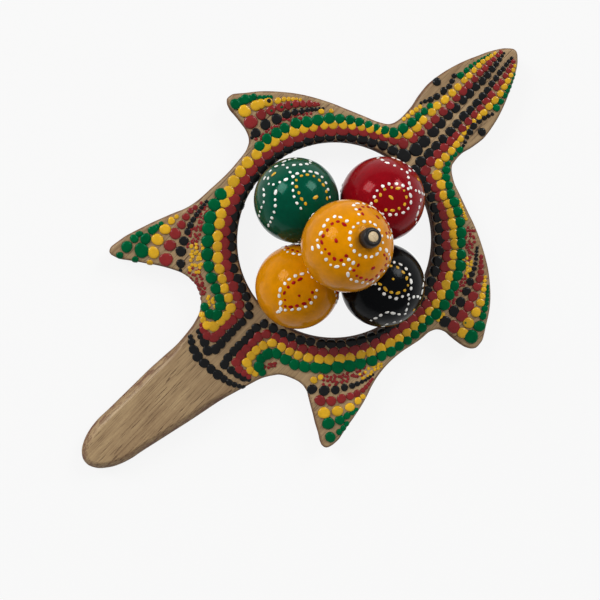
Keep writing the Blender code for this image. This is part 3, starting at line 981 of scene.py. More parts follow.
crown_halves = ["crown_ball_upper", "crown_ball_lower"]
crown_inside = np.hypot(*along_and_off("crown", crown_halves)).min()
plug_height, plug_distance = along_and_off("crown", ["crown_plug"])
plug_radius = plug_distance.max()
crown_profile = capped_shell(ball_radius["crown"], crown_inside, plug_radius + DRILL_PLAY)
crown_rings = turned_rings(crown_profile, ball_centre["crown"], ball_axis["crown"], BALL_SIDES)
crown = add_piece("crown_ball", *skin_rings(crown_rings), ball_lacquer["crown"])
drill(crown, drilling_tool())
settle(crown, "frame", crown_halves)

# %% [markdown]
# ## Collars and plug
#
# A small black collar keeps each ball off the wall of the hole, and a rounder one finishes the top of the
# crown, where the end of the wooden plug shows. They are turned from thin stock and painted satin black.
# Cones and cylinders put together would show creases, so one profile has a foot that fits the ball, a side
# that is hollow or full, and a round lip, and it is turned about the dowel as the balls are.

# %% Collar paint
SATIN_BLACK = colour(15, 15, 17)
SATIN_DULLNESS = 0.34
SATIN_SHINE = 0.25
COLLAR_DUST = 0.06

collar_paint, tree, shader = new_finish("collar_paint")
place = node(tree, "ShaderNodeTexCoord").outputs["Object"]
satin = effect(tree, skin, Vector=place, Color=SATIN_BLACK, Shade=MIDDLE_SHADE, Dullness=SATIN_DULLNESS)
dust = effect(tree, soil, Vector=place, Amount=COLLAR_DUST)["Mask"]
dress(tree, shader, satin, strength=0.3, depth=0.3 * MM, tint=mix(tree, dust, satin["Color"], SOIL_BROWN))
fill(tree, shader, {"Specular IOR Level": SATIN_SHINE})
print("finish:", collar_paint.name)

# %% Turn the collars
SPACER_SHAPE = dict(slim=1.0, bulge=-0.45 * MM, lip=0.9 * MM, mouth=3.3 * MM)
NUB_SHAPE = dict(slim=0.76, bulge=0.35 * MM, lip=1.5 * MM, mouth=2.85 * MM)
COLLAR_SIDES = 64
FOOT_STEPS = 8
SIDE_STEPS = 13
COLLAR_LIP_STEPS = 9
FOOT_EDGE = 0.5 * MM
TIP_BAND = 0.2 * MM
MOUTH_EDGE = 0.12 * MM
MOUTH_DEPTH = 0.72 * MM
BORE_DEPTH = 1.08 * MM


def collar_profile(foot_sphere, bore, base, tip, tip_height, bulge, lip, mouth):
    """Radius and height of a collar: its foot lies on a sphere, its side goes in from base to tip on a line
    that is bent outwards by a half wave of the bulge, a quarter circle rounds the lip, and the bore may
    narrow to a mouth."""
    foot_radius = np.linspace(bore, base, FOOT_STEPS)
    foot = np.column_stack([foot_radius, np.sqrt(foot_sphere ** 2 - foot_radius ** 2)])
    share = np.arange(SIDE_STEPS) / SIDE_STEPS
    low = foot[-1, 1] + FOOT_EDGE
    high = tip_height - lip
    side_radius = base + (tip - base) * share + bulge * np.sin(np.pi * share)
    side = np.column_stack([side_radius, low + (high - low) * share])
    turn = np.linspace(0, np.pi / 2, COLLAR_LIP_STEPS)
    rounded = np.column_stack([tip - lip * (1 - np.cos(turn)), high + lip * np.sin(turn)])
    opening = [[mouth + MOUTH_EDGE, 0.0], [mouth, MOUTH_EDGE], [mouth, MOUTH_DEPTH], [bore, BORE_DEPTH]]
    return np.vstack([foot, side, rounded, np.array(opening) * (1, -1) + (0, tip_height)])


def turn_collar(name, ball_name, sign, cad_node, slim, **shape):
    """Measures one CAD collar along and across its axis and turns the finished one in its place."""
    height, distance = along_and_off(ball_name, [cad_node])
    height = sign * height
    tip_height = height.max()
    tip = distance[height > tip_height - TIP_BAND].max()
    foot_sphere = np.hypot(height, distance).min()
    profile = collar_profile(foot_sphere, distance.min(), slim * distance.max(), tip, tip_height, **shape)
    rings = turned_rings(profile, ball_centre[ball_name], sign * ball_axis[ball_name], COLLAR_SIDES)
    collar = add_piece(name, *skin_rings(rings, closed=True), collar_paint)
    settle(collar, "frame", [cad_node])


for colour_name in COLOURS:
    turn_collar(colour_name + "_collar", colour_name, -1, colour_name + "_spacer", **SPACER_SHAPE)
turn_collar("nub_collar", "crown", 1, "crown_collar", **NUB_SHAPE)

# %% [markdown]
# The plug is a short peg whose end is eased to pass the collar's mouth and stands a little proud of it. The
# end is slightly domed and shows the end of the grain as faint rings, so its wood takes rings from the
# distance to its axis.

# %% Plug wood
YEARS = {"Scale": 260.0, "Distortion": 1.2, "Detail": 2.0}
YEAR_MIDDLE = (0.0, 0.004, 0.003)
YEAR_DEPTH = 0.35

plug_wood, tree, shader = new_finish("plug_wood")
place = node(tree, "ShaderNodeAttribute", attribute_name="rod_space").outputs["Vector"]
plug_grain = effect(tree, grain, Vector=place, Light=PALE_WOOD, Dark=PALE_DARK, Pore=WOOD_PORE)
across = vector_calc(tree, "MULTIPLY", place, (0.0, 1.0, 1.0))
year_inputs = {"Vector": vector_calc(tree, "ADD", across, YEAR_MIDDLE), **YEARS}
years = node(tree, "ShaderNodeTexWave", year_inputs, wave_type="RINGS", rings_direction="X").outputs[1]
year_share = calc(tree, "MULTIPLY", years, YEAR_DEPTH)
tint = mix(tree, year_share, plug_grain["Color"], PALE_DARK)
dress(tree, shader, plug_grain, strength=0.3, depth=0.1 * MM, tint=tint)
print("finish:", plug_wood.name)

# %% Turn the plug
PLUG_DOME = 0.35 * MM
PLUG_END = 2.72 * MM
PLUG_EASED = 2.4 * MM
PLUG_RINGS = 40
DOME_SHARE = np.array([0.05, 0.4, 0.7, 0.88, 0.96])

plug_top = plug_height.max()
dome = np.column_stack([PLUG_END * DOME_SHARE, plug_top - PLUG_DOME * DOME_SHARE ** 4])
plug_side = np.linspace(plug_top - 2 * PLUG_DOME, plug_height.min(), PLUG_RINGS)
side_radius = np.where(plug_side > plug_top - PLUG_EASED, PLUG_END, plug_radius)
plug_profile = np.vstack([dome, np.column_stack([side_radius, plug_side])])
plug_rings = turned_rings(plug_profile, ball_centre["crown"], ball_axis["crown"], COLLAR_SIDES)
plug = add_piece("nub_plug", *skin_rings(plug_rings), plug_wood)
rod_space(plug, ball_centre["crown"], ball_axis["crown"])
settle(plug, "frame", ["crown_plug"])

# %% [markdown]
# ## Paint drops
#
# The decoration is set with the round end of a stick dipped in thick paint. Every touch leaves a low dome
# with a steep rim, and no two are the same size or quite round. Copies of one dome would look printed. Here
# a dome is a few rings and a middle point. All drops of a colour are worked out together as one array, with
# radii and wobble drawn from one seeded source, and then laid on the board or on a ball.

# %% The shape of one drop, for many drops at once
DROP_SIDES = 12
DROP_RINGS = np.array([[1.0, -0.06], [0.95, 0.6], [0.82, 0.9], [0.45, 1.0]])
RIM_WAVES = np.array([0.075, 0.045])
WAVE_COUNTS = np.array([2, 3])
WAVE_DEPTH = (0.2, 1.0)
DICE_START = 11
dice = np.random.default_rng(DICE_START)


def drop_faces():
    """Faces of one drop: bands between rings, a fan round the middle point, and one flat face below."""
    rings = len(DROP_RINGS)
    index = np.arange(rings * DROP_SIDES).reshape(rings, DROP_SIDES)
    fan = np.stack([index[-1], np.roll(index[-1], -1), np.full(DROP_SIDES, index.size)], axis=1)
    return ring_faces(index), fan, index[:1, ::-1]


def drop_shapes(radii, heights):
    """Offsets along and across the row and heights of all points of many drops. A drop's rim is a circle
    that swells and shrinks by two random waves."""
    turn = np.arange(DROP_SIDES) * 2 * np.pi / DROP_SIDES
    phase = dice.uniform(0, 2 * np.pi, (len(radii), 2, 1))
    depth = dice.uniform(*WAVE_DEPTH, (len(radii), 2, 1))
    waves = RIM_WAVES[:, None] * depth * np.sin(WAVE_COUNTS[:, None] * turn + phase)
    wobble = 1 + waves.sum(axis=1)
    spread = radii[:, None, None] * DROP_RINGS[None, :, :1] * wobble[:, None, :]
    along = (spread * np.cos(turn)).reshape(len(radii), -1)
    across = (spread * np.sin(turn)).reshape(len(radii), -1)
    rise = np.repeat(heights[:, None] * DROP_RINGS[:, 1], DROP_SIDES, axis=1)
    middle = np.zeros((len(radii), 1))
    return np.hstack([along, middle]), np.hstack([across, middle]), np.hstack([rise, heights[:, None]])


def add_drops(name, points, finish, body):
    """One piece of many drops, with a random shade for each drop."""
    count, size = points.shape[:2]
    start = np.arange(count)[:, None, None] * size
    faces = []
    for part in drop_faces():
        faces += (start + part[None]).reshape(-1, part.shape[1]).tolist()
    piece = add_piece(name, points.reshape(-1, 3), faces, finish)
    shade = np.repeat(dice.uniform(0, 1, count), size).astype(np.float32)
    piece.data.attributes.new("shade", "FLOAT", "POINT").data.foreach_set("value", shade)
    settle(piece, body)


print("points of a drop", len(DROP_RINGS) * DROP_SIDES + 1)

# %% Drop paints
DROP_PAINT = {
    "black": colour(17, 18, 19),
    "red": colour(128, 30, 30),
    "yellow": colour(212, 163, 26),
    "green": colour(0, 86, 46),
    "white": colour(240, 239, 234),
    "dark_red": colour(156, 12, 20),
}
DROP_SHINE = 0.36
DROP_DULLNESS = 0.2
DROP_GLINT = {
    "black": (0.7, 0.7, 0.7, 1.0),
    "green": (0.1, 0.6, 0.42, 1.0),
    "dark_red": (1.0, 0.2, 0.2, 1.0),
}


def drop_finish(name, paint):
    """Thick glossy paint: the tone changes from drop to drop, and its skin is a little uneven."""
    material, tree, shader = new_finish(name + "_drops")
    place = node(tree, "ShaderNodeTexCoord").outputs["Object"]
    shade = node(tree, "ShaderNodeAttribute", attribute_name="shade").outputs["Fac"]
    coat = effect(tree, skin, Vector=place, Color=paint, Shade=shade, Dullness=DROP_DULLNESS)
    dress(tree, shader, coat, strength=0.6, depth=0.4 * MM)
    fill(tree, shader, {"Specular IOR Level": DROP_SHINE, "Specular Tint": DROP_GLINT.get(name, WHITE)})
    return material


drop_paint = {name: drop_finish(name, paint) for name, paint in DROP_PAINT.items()}
print("drop paints:", list(drop_paint))

# %% [markdown]
# ## Rows of drops on the board
#
# The drops are set in rows: black next to the hole, then red, yellow and green, each row touching the one
# before, and the same four colours again as bows on every flipper, along the head, and as two loops where
# the handle begins. A row is drawn here as a smooth line through a few stops, each with the drop's radius at
# that place, in millimetres from the middle of the hole. The drops follow at their own spacing: the count
# along the line is its length divided by the width of the drops, so thin ends get small close drops by
# themselves. Setting every drop alone would take far longer, and a random scatter would lose the rows.

# %% Stops on a ring
RING_STEP = 6.0


def ring(*stops):
    """Stops on a ring, given by heading in degrees, distance from the middle and drop radius. Between them
    distance and radius change evenly with the heading, and a plan stop is made every few degrees, so that
    the row stays round."""
    heading, *columns = np.array(stops, dtype=float).T
    way = np.sign(heading[-1] - heading[0])
    turn = np.linspace(heading[0], heading[-1], 1 + int(abs(heading[-1] - heading[0]) / RING_STEP))
    distance, radius = [np.interp(way * turn, way * heading, column) for column in columns]
    turn = np.radians(turn)
    return np.column_stack([distance * np.cos(turn), distance * np.sin(turn), radius]).tolist()


print("a quarter ring has", len(ring((0, 60, 3), (90, 60, 3))), "stops")

# %% Black rows
BLACK_ROWS = [
    [(144, 6.3, 0.8), (137.5, 5.3, 1.6), (128.5, 4.4, 2.2), (117.8, 4.6, 2.5), (103.8, 4.5, 2.9),
     (88.5, 4.5, 3.2), (72, 4.8, 3.5), (63, 5.7, 3.9)]
    + ring((14, 61.6, 3.1), (30, 59.8, 3), (50, 59.4, 3), (95, 59.6, 3.1), (125, 60, 3), (150, 60.8, 2.9))
    + [(-60.5, 13, 2.8), (-64.5, 7.4, 2.6), (-80, 7.4, 2.5), (-95.5, 7.6, 2.9), (-94.5, 14.3, 2.6),
       (-92, 21, 1.6)],
    [(145, 1.3, 1), (138.5, 0.7, 1.4), (129.5, -0.5, 1.9), (117.3, -2.2, 2.4), (103.5, -2.7, 2.7),
     (89, -3, 2.8), (75.8, -3.1, 3), (61.8, -3.4, 3)]
    + ring((-11, 60.9, 3), (-25, 60.4, 3), (-45, 59.9, 3.1), (-62, 60.5, 3), (-90, 59.5, 3), (-115, 60, 3),
           (-135, 59.4, 2.9), (-152, 60.4, 2.9), (-166, 61.8, 2.9))
    + [(-61.5, -7.5, 2.8), (-64.5, -1.8, 2.8), (-80, -1.7, 2.6), (-94, -2, 2.8), (-95.5, -7.3, 2.5),
       (-94.3, -14, 2.4), (-92.5, -19, 1.5)],
    [(-97.5, 22.5, 1.4), (-100.5, 18, 2.6), (-103, 11.5, 2.8), (-103.3, 3, 3), (-103, -3.3, 2.8),
     (-102, -9.5, 2.3), (-101, -14, 1.8), (-98, -20, 1.3)],
    [(90.5, 20.7, 1), (97.3, 17.2, 1.9), (103, 16.3, 2.3), (107.7, 15.6, 1.8), (114.8, 17.8, 1.4)],
    [(90.5, -14, 0.9), (97.5, -11.4, 1.7), (102.3, -10.5, 2), (108, -10.7, 1.6), (115, -13.2, 1)],
    [(104.8, 22.8, 2.3)],
    [(103.5, -16.2, 2.4)],
]
BLACK_BOWS = [
    [(8.5, 76, 1), (13.5, 76.5, 3), (20, 75.5, 3), (26, 73.5, 2.8), (31.3, 71, 2.5), (35.8, 68.7, 2),
     (42, 64, 1.4), (48.5, 58.5, 0.9)],
    [(-74, 53, 1), (-71, 56, 2.7), (-65.3, 60.5, 3), (-59.3, 63.3, 2.5), (-54, 65.5, 2), (-46.5, 68, 1.5),
     (-35.5, 69.3, 1)],
    [(11, -78.5, 3.2), (18, -78.3, 3.2), (25, -77, 3), (31.3, -75.5, 2.7), (40.7, -71, 1.9),
     (48, -67, 1.3), (54.7, -61.5, 1)],
    [(-71, -50, 3), (-67, -55.5, 3), (-62, -59.8, 2.7), (-53.3, -65.7, 1.8), (-46.8, -68.7, 1.2),
     (-40.5, -69.7, 0.8)],
]
print("black rows and bows", len(BLACK_ROWS), len(BLACK_BOWS))

# %% Red rows
RED_ROWS = [
    [(143, 8, 1.2), (133, 8.5, 1.8), (118, 8.2, 2.3), (100, 8, 2.7), (81.5, 9.3, 2.8), (68.5, 10.8, 3)]
    + ring((13.4, 67.4, 2.9), (25, 64.6, 2.9), (45, 63.6, 3.1), (95, 63.4, 3.2), (122, 63.6, 3.1),
           (145, 64.6, 3.1), (160, 65.2, 2.9))
    + [(-64.3, 15.5, 2.7), (-68, 12, 2.7), (-80, 12, 2.8), (-89.5, 12.6, 2.7), (-90.3, 18, 2.3),
       (-88.3, 22.5, 1.5)],
    [(144.5, -1, 1.3), (137, -3, 1.7), (124.5, -4.9, 2.3), (104.5, -6.3, 2.5), (85, -6.8, 2.5),
     (66, -7.6, 2.9)]
    + ring((-14, 65.8, 2.8), (-24.4, 64.2, 2.7), (-40, 64, 2.9), (-52, 65, 3), (-65, 65.5, 2.9),
           (-80, 64.4, 3), (-101, 63.2, 3.1), (-120, 63.8, 3.1), (-135, 64.1, 3), (-150, 65, 2.9),
           (-161, 65.5, 2.8))
    + [(-64.2, -13.3, 2.7), (-68.5, -6.6, 2.7), (-80, -5.9, 2.8), (-89.8, -6.6, 2.7), (-92, -12, 2.4),
       (-91.5, -18, 1.5)],
]
RED_BOWS = [
    [(15, 82.5, 3.3), (21.5, 81, 2.8), (27.3, 78.5, 2.5), (37.5, 72.7, 2), (44, 66.7, 1.8), (48.5, 62, 1)],
    [(-74.5, 62.7, 3.2), (-69.3, 66.5, 3), (-57.5, 70.3, 2.5), (-47.2, 71.8, 1.7), (-42.5, 71.7, 1.3)],
    [(13, -84.5, 3.3), (25.5, -82.7, 3), (37, -78.5, 2.5), (45.5, -73.7, 1.8), (52.5, -67, 1.2)],
    [(-73, -58.1, 2.7), (-68.5, -62.8, 2.7), (-64.1, -66, 2.4), (-59.2, -68.7, 2.1), (-54.5, -70.9, 1.8),
     (-49.9, -71.9, 1.3), (-45.9, -71.8, 1), (-42.8, -71.4, 0.8)],
]
print("red rows and bows", len(RED_ROWS), len(RED_BOWS))

# %% Yellow rows
YELLOW_ROWS = [
    [(140, 10, 1.1), (133, 11.5, 1.5), (122, 12, 2), (110.3, 11.7, 2.5), (96.5, 12.7, 2.7),
     (84.5, 12.8, 2.8), (72, 13.8, 3.2)]
    + ring((17.2, 68.8, 2.7), (27, 67.2, 2.5), (45, 66.4, 2.6), (65, 67.2, 3), (90, 67.5, 3.2),
           (108, 68.4, 3.2), (122, 67.6, 3.1), (140, 68.6, 3.1), (155, 69.6, 2.9))
    + [(-66.5, 22.5, 2.8), (-70, 17, 2.9), (-75, 16, 2.8), (-80.5, 16.4, 2.8), (-86, 17.5, 2.8),
       (-86, 23, 2), (-84, 26.5, 1.8)],
    [(143.5, -3.2, 1.2), (132.5, -7, 2), (117.5, -9, 2.4), (106.7, -8.7, 1.7), (99.5, -8.3, 1.3),
     (92.5, -9.8, 2), (82.5, -11.2, 2.3), (70.3, -11.7, 3.1)]
    + ring((-15.5, 68.9, 3.2), (-22, 67.3, 2.7), (-32, 68.3, 2.9), (-45, 68.8, 2.9), (-60, 69.2, 3),
           (-78, 68.8, 2.9), (-92, 67.5, 2.9), (-110, 67.6, 3), (-130, 67.8, 3), (-142, 69, 3),
           (-155, 69.6, 2.8))
    + [(-66, -19, 2.8), (-69, -12.5, 2.8), (-77, -10.6, 2.7), (-85, -11, 2.8), (-87.8, -14, 2.6),
       (-87.5, -19.5, 1.9)],
]
YELLOW_BOWS = [
    [(88.5, 19.6, 1.3), (83, 20.4, 1.4), (77, 21.3, 1.2)],
    [(16, 89, 3.3), (22, 87, 3), (26, 85, 3), (33.5, 80, 1.8), (38.5, 76.3, 1.2), (43, 71, 1)],
    [(25.5, 85.3, 2.6)],
    [(28.3, 84, 2.2)],
    [(46.8, 57.8, 1.5)],
    [(51, 54, 1.2)],
    [(-83, 68.5, 1.7), (-77.5, 70.3, 3.3), (-70.7, 74, 3.3), (-58.7, 75.8, 2.3), (-53.5, 75.5, 1.3)],
    [(13, -90.5, 3.3), (26.5, -87.8, 2.8), (37.7, -83.5, 1.7), (46, -77, 1)],
    [(9, -74.8, 1.2), (13.5, -74.7, 1.2)],
    [(66.5, -34.5, 1), (62, -45, 1)],
    [(-76.5, -65, 3.4), (-70.5, -69.5, 3.2), (-64, -73, 2.8), (-53.8, -74.7, 1.5)],
    [(-66.5, -47, 2), (-63, -48.5, 1.5)],
]
print("yellow rows and bows", len(YELLOW_ROWS), len(YELLOW_BOWS))

# %% Green rows
GREEN_ROWS = [
    [(92.5, 15, 2), (82, 16.8, 2.4), (75, 17.3, 2.9), (67.6, 19.5, 2.9)]
    + ring((21, 69, 2.4), (26, 68.5, 2.3), (39.5, 70, 2.9), (50, 70, 3), (65, 70.7, 3.1),
           (83.5, 70.5, 2.8)),
    ring((112, 71.5, 3.4), (118, 73, 3.3), (130, 73.6, 3.5), (140, 74.2, 3.4), (152, 74.8, 3.1))
    + [(-70, 26, 2.8), (-74, 21.5, 2.8), (-80.5, 21.5, 3), (-79.5, 28, 2.2)],
    [(87.5, -14, 2), (80, -14, 1.6), (73, -16.6, 2.2)]
    + ring((-17.5, 72.9, 2.2), (-21, 71.9, 2.9), (-26, 71.4, 2.3), (-31, 72.2, 3.1), (-46.5, 72.5, 3),
           (-57, 73, 3.1), (-66, 74, 3), (-78.5, 72.5, 3.3), (-90, 70.8, 2.7), (-110, 71.8, 2.9),
           (-121, 72, 3.3), (-133, 73, 3.4), (-143, 74.6, 3.2), (-155, 74.8, 2.9))
    + [(-70.5, -20.5, 3.1), (-74, -16.8, 3), (-78.5, -16.2, 2.8), (-83, -17.5, 2.8), (-84, -22, 2.2)],
    [(117.5, 15.3, 2.2), (128, 14.3, 1.2), (138, 11.5, 0.8)],
    [(119, -12.5, 2.2), (126.3, -11.3, 1.8), (132, -10, 1.3), (140, -6.7, 1)],
]
GREEN_BOWS = [
    [(16, 95.5, 2.6), (23.5, 92, 2.2), (29, 87, 1.2), (32.5, 84, 1)],
    [(18.8, 94.4, 2.2)],
    [(23.6, 91.9, 1.7)],
    [(-67.3, 79.7, 1.9)],
    [(-76, 84, 1.5)],
    [(-87.5, 75.3, 1.7), (-82.5, 75.6, 3.5), (-76.3, 78.6, 3), (-71, 80, 2.3), (-62.5, 79, 1.2)],
    [(-91.5, 83.3, 1.8), (-87.5, 84, 2.7), (-82, 84.3, 2.5), (-74.5, 83.5, 1.5)],
    [(15.7, -95.6, 3.7), (23.4, -94.8, 2.8), (31, -91, 1.9), (36.3, -88, 1.3), (43.5, -82, 0.8)],
    [(-79.5, -71, 3.4), (-73.3, -74.5, 2.6), (-62, -77.2, 1.2)],
    [(-84, -78, 3), (-78, -79.3, 1.7), (-72, -79, 1.4)],
]
print("green rows and bows", len(GREEN_ROWS), len(GREEN_BOWS))

# %% [markdown]
# Between the ring and the bows the wood is filled with tiny specks, in bands of two or more close lines. A
# band is the same kind of row, repeated side by side across its width. A few single touches lie on top of
# other drops.

# %% Bands of specks
RED_SPECKS = [
    ([(9, 73, 0.9), (29, 68.5, 0.9), (40, 61.5, 0.9)], 2),
    ([(-60, 57, 0.9), (-48, 64, 0.9), (-38, 68, 0.9)], 3),
    ([(-76, 34, 0.9), (-69, 47, 0.9)], 3),
    ([(18.5, -74, 0.9), (37, -69, 0.9)], 2),
    ([(45.5, -63, 0.9), (59.5, -51, 0.9)], 3),
    ([(-64, -51, 0.9), (-52, -59.5, 0.9), (-42, -63.5, 0.9)], 3),
    ([(-80, -21, 0.9), (-76, -24, 0.9)], 2),
]
YELLOW_SPECKS = [
    ([(-69, 46, 1.05), (-57, 56, 1.05)], 3),
    ([(38.5, -68, 1), (45, -63, 1)], 3),
    ([(-46, -65.5, 0.9), (-33, -69, 0.9)], 2),
    ([(-77, 25.5, 1), (-73.5, 29.5, 1)], 2),
]
BLACK_TOUCHES = [[(30.2, 83.2, 1.3)]]
GREEN_TOUCHES = [
    [(27, 78.5, 0.8)],
    [(32.5, 75.8, 0.8)],
    [(37.5, 72.8, 0.8)],
    [(19, -87.5, 0.7)],
]
SPECK_STEP = 2.35


def side_by_side(stops, lines):
    """A row repeated across its width: copies shifted square to its chord, each by a little more than a
    drop, and every second copy also along the chord by half a drop's spacing."""
    stops = np.array(stops, dtype=float)
    chord = unit(stops[-1, :2] - stops[0, :2])
    square = np.array([-chord[1], chord[0]])
    width = SPECK_STEP * stops[:, 2].mean()
    copies = []
    for number in range(lines):
        shift = (number - (lines - 1) / 2) * width * square + (number % 2) * width / 2 * chord
        copies.append(np.column_stack([stops[:, :2] + shift, stops[:, 2]]).tolist())
    return copies


red_specks = [line for stops, lines in RED_SPECKS for line in side_by_side(stops, lines)]
yellow_specks = [line for stops, lines in YELLOW_SPECKS for line in side_by_side(stops, lines)]
print("speck lines", len(red_specks), len(yellow_specks))

# %% [markdown]
# The drops are then counted out along their rows and laid on the wood. A flat drop would stick out over the
# rounded edge, so each one is wrapped round it, as wet paint would be.

# %% Space the drops along their rows
SMALL_AND_BIG = (1.0, 2.5)
LOOP_PACKING = 0.85
LOOPS_BEHIND = -70.0
LOOPS_WITHIN = 40.0
HEAD_FROM = 62 * MM
HEAD_TO = 80 * MM
ROW_SPAN = 24
RADIUS_SPREAD = (0.92, 1.08)


def spaced(line, width, dims):
    """Places along a line whose points carry extra columns, with a drop on each end. The running count of
    drops is the sum of each step's length over the local width, and every whole count is read off all
    columns."""
    if len(line) == 1:
        return line
    step = np.linalg.norm(np.diff(line[:, :dims], axis=0), axis=1)
    count = np.append(0, np.cumsum(step / ((width[1:] + width[:-1]) / 2)))
    whole = max(1, int(round(count[-1])))
    at = np.linspace(0, count[-1], whole + 1)
    return np.stack([np.interp(at, count, column) for column in line.T], axis=1)


def row_steps(line, packing):
    """The step from drop to drop at every point of a row: the width of the drops times the packing for small
    and for big drops, and closer in the two loops before the handle."""
    in_loops = (line[:, 0] < LOOPS_BEHIND) & (np.abs(line[:, 1]) < LOOPS_WITHIN)
    closeness = np.where(in_loops, LOOP_PACKING, 1.0)
    return 2 * line[:, 2] * np.interp(line[:, 2], SMALL_AND_BIG, packing) * closeness


def drops_of_rows(rows, packing, play, growth, head_growth=1.0):
    """Plan places and radii of all drops of some rows, in metres. Each drop is moved off its mark by a share
    of its radius, and spreads beyond the width that it was given in the row, on the head by its own
    share."""
    lines = [smooth_line(stops, ROW_SPAN) for stops in rows]
    drops = np.concatenate([spaced(line, row_steps(line, packing), 2) for line in lines]) * MM
    drops[:, :2] += dice.normal(0, play, (len(drops), 2)) * drops[:, 2:]
    on_head = np.interp(drops[:, 0], [HEAD_FROM, HEAD_TO], [1.0, head_growth])
    drops[:, 2] *= growth * on_head * dice.uniform(*RADIUS_SPREAD, len(drops))
    return drops


short_row = spaced(np.array([[0.0], [30.0]]), np.full(2, 6.0), 1)
print("drops 6 mm wide on a line of 30 mm:", len(short_row))

# %% Wrap drops over the board's edges
def lay_on_board(drops, heights):
    """Drops wrapped over the board. Each drop looks for the nearest edge, of the hole or of the outline.
    Where a point lies beyond the start of the rounded edge, that distance becomes an angle on the quarter
    circle, and anything further runs down the wall."""
    along, across, rise = drop_shapes(drops[:, 2], heights)
    plan = np.stack([along, across], axis=-1) + drops[:, None, :2]
    nearest = np.argmin(np.linalg.norm(drops[:, None, :2] - outline[None], axis=2), axis=1)
    outline_depth = np.sum((drops[:, :2] - outline[nearest]) * outline_into[nearest], axis=1)
    away = unit(drops[:, :2])
    at_hole = (np.linalg.norm(drops[:, :2], axis=1) - hole_radius < outline_depth)[:, None]
    edge = np.where(at_hole, hole_radius * away, outline[nearest])[:, None]
    into = np.where(at_hole, away, outline_into[nearest])[:, None]
    rounding = np.where(at_hole[:, 0], edge_round, outline_round[nearest])[:, None]
    depth = np.sum((plan - edge) * into, axis=2)
    beyond = np.maximum(rounding - depth, 0)
    angle = np.minimum(beyond / rounding, np.pi / 2)
    down_wall = np.maximum(beyond - rounding * np.pi / 2, 0)
    inset = np.where(beyond > 0, rounding * (1 - np.sin(angle)), depth)
    placed = plan + into * (inset - depth - rise * np.sin(angle))[..., None] + hole
    level = thickness - rounding * (1 - np.cos(angle)) - down_wall + rise * np.cos(angle)
    return np.concatenate([placed, level[..., None]], axis=2)


print("edge points that drops look for", len(outline))

# %% Paint the board
ROW_PACKING = (1.03, 1.03)
BOW_PACKING = (0.98, 1.2)
SPECK_PACKING = (0.98, 0.98)
PLACE_PLAY = 0.08
SPECK_PLAY = 0.6
DROP_GROWTH = {"black": 1.05, "red": 1.15, "yellow": 1.09, "green": 1.15}
HEAD_GROWTH = {"black": 1.02, "red": 0.91, "yellow": 0.92, "green": 0.91}
BOW_GROWTH = 1.02
SPECK_GROWTH = 1.05
DROP_HEIGHT = {"black": 0.8, "red": 0.9, "yellow": 1.1, "green": 1.3}
TOUCH_HEIGHT = 1.4 * MM
FLATTEST = 0.42


def paint_board(paint, rows, bows, specks=(), touches=()):
    """All drops of one colour on the board: rows, bows, bands of specks, and touches on other drops."""
    growth = DROP_GROWTH[paint]
    drops = [
        drops_of_rows(rows, ROW_PACKING, PLACE_PLAY, growth, HEAD_GROWTH[paint]),
        drops_of_rows(bows, BOW_PACKING, PLACE_PLAY, growth * BOW_GROWTH),
    ]
    if specks:
        drops.append(drops_of_rows(specks, SPECK_PACKING, SPECK_PLAY, SPECK_GROWTH))
    full = DROP_HEIGHT[paint] * MM
    heights = [np.minimum(full, FLATTEST * group[:, 2]) for group in drops]
    if touches:
        drops.append(drops_of_rows(touches, ROW_PACKING, PLACE_PLAY, 1.0))
        heights.append(np.full(len(touches), TOUCH_HEIGHT))
    points = lay_on_board(np.concatenate(drops), np.concatenate(heights))
    add_drops("board_" + paint, points, drop_paint[paint], "frame")


paint_board("red", RED_ROWS, RED_BOWS, red_specks)
paint_board("black", BLACK_ROWS, BLACK_BOWS, touches=BLACK_TOUCHES)
paint_board("yellow", YELLOW_ROWS, YELLOW_BOWS, yellow_specks)
paint_board("green", GREEN_ROWS, GREEN_BOWS, touches=GREEN_TOUCHES)

# %% [markdown]
# ## Petals on the balls
#
# Every ball has pointed petals round the end that faces the crown, and the crown has three round its nub. A
# petal is outlined in white drops, with a second outline in yellow or dark red inside it and one drop in its
# heart. The outer half of the green, red and black balls has a smaller petal and bows. They could be painted
# into the lacquer's colour, but real drops stand up and catch the light, so they are shapes here too. A
# place on a ball is an azimuth round its axis and a polar angle from the inner end, in degrees.

# %% Petals
BALL_ZERO = {name: UPRIGHT for name in COLOURS}
BALL_ZERO["crown"] = ball_axis["crown"] * (1.0, 1.0, 0.0)


def mirrored(half):
    """A line from its foot to its tip, and on from the tip to the other foot at the opposite azimuths."""
    half = np.array(half, dtype=float)
    return np.vstack([half, (half * (-1, 1))[-2::-1]])


def inside(line, heart, share):
    """A line drawn in towards a heart: every place keeps its share of the way from the heart."""
    return heart + share * (np.array(line, dtype=float) - heart)


CROWN_PETAL = mirrored([(-47, 33), (-46, 46), (-40, 53), (-30, 56), (-20, 57.5), (-10, 60), (0, 64)])
CROWN_INNER = mirrored([(-37, 33), (-38, 40), (-34, 46), (-24, 48.5), (-13, 52), (0, 57)])
RED_PETAL = [(-18, 26), (-29, 35), (-34, 43), (-35, 55), (-31, 64), (-21, 71), (-12, 75), (4, 69),
             (14, 62), (24, 51), (27, 43), (25, 37), (27, 27)]
GREEN_PETAL = [(-73, 36), (-66, 48), (-61, 60), (-52, 68), (-40, 73), (-29, 75), (-17, 75), (-4, 60),
               (4, 49), (10, 36)]
GREEN_INNER = [(-66, 33), (-58, 50), (-43, 65), (-31, 69), (-19, 68), (-10, 57), (-4, 35)]
BLACK_PETAL = [(-18, 27), (-16, 37), (-13, 48), (-5, 59), (7, 66), (14, 71), (24, 70), (33, 65), (45, 58),
               (52, 49), (57, 40), (58, 29)]
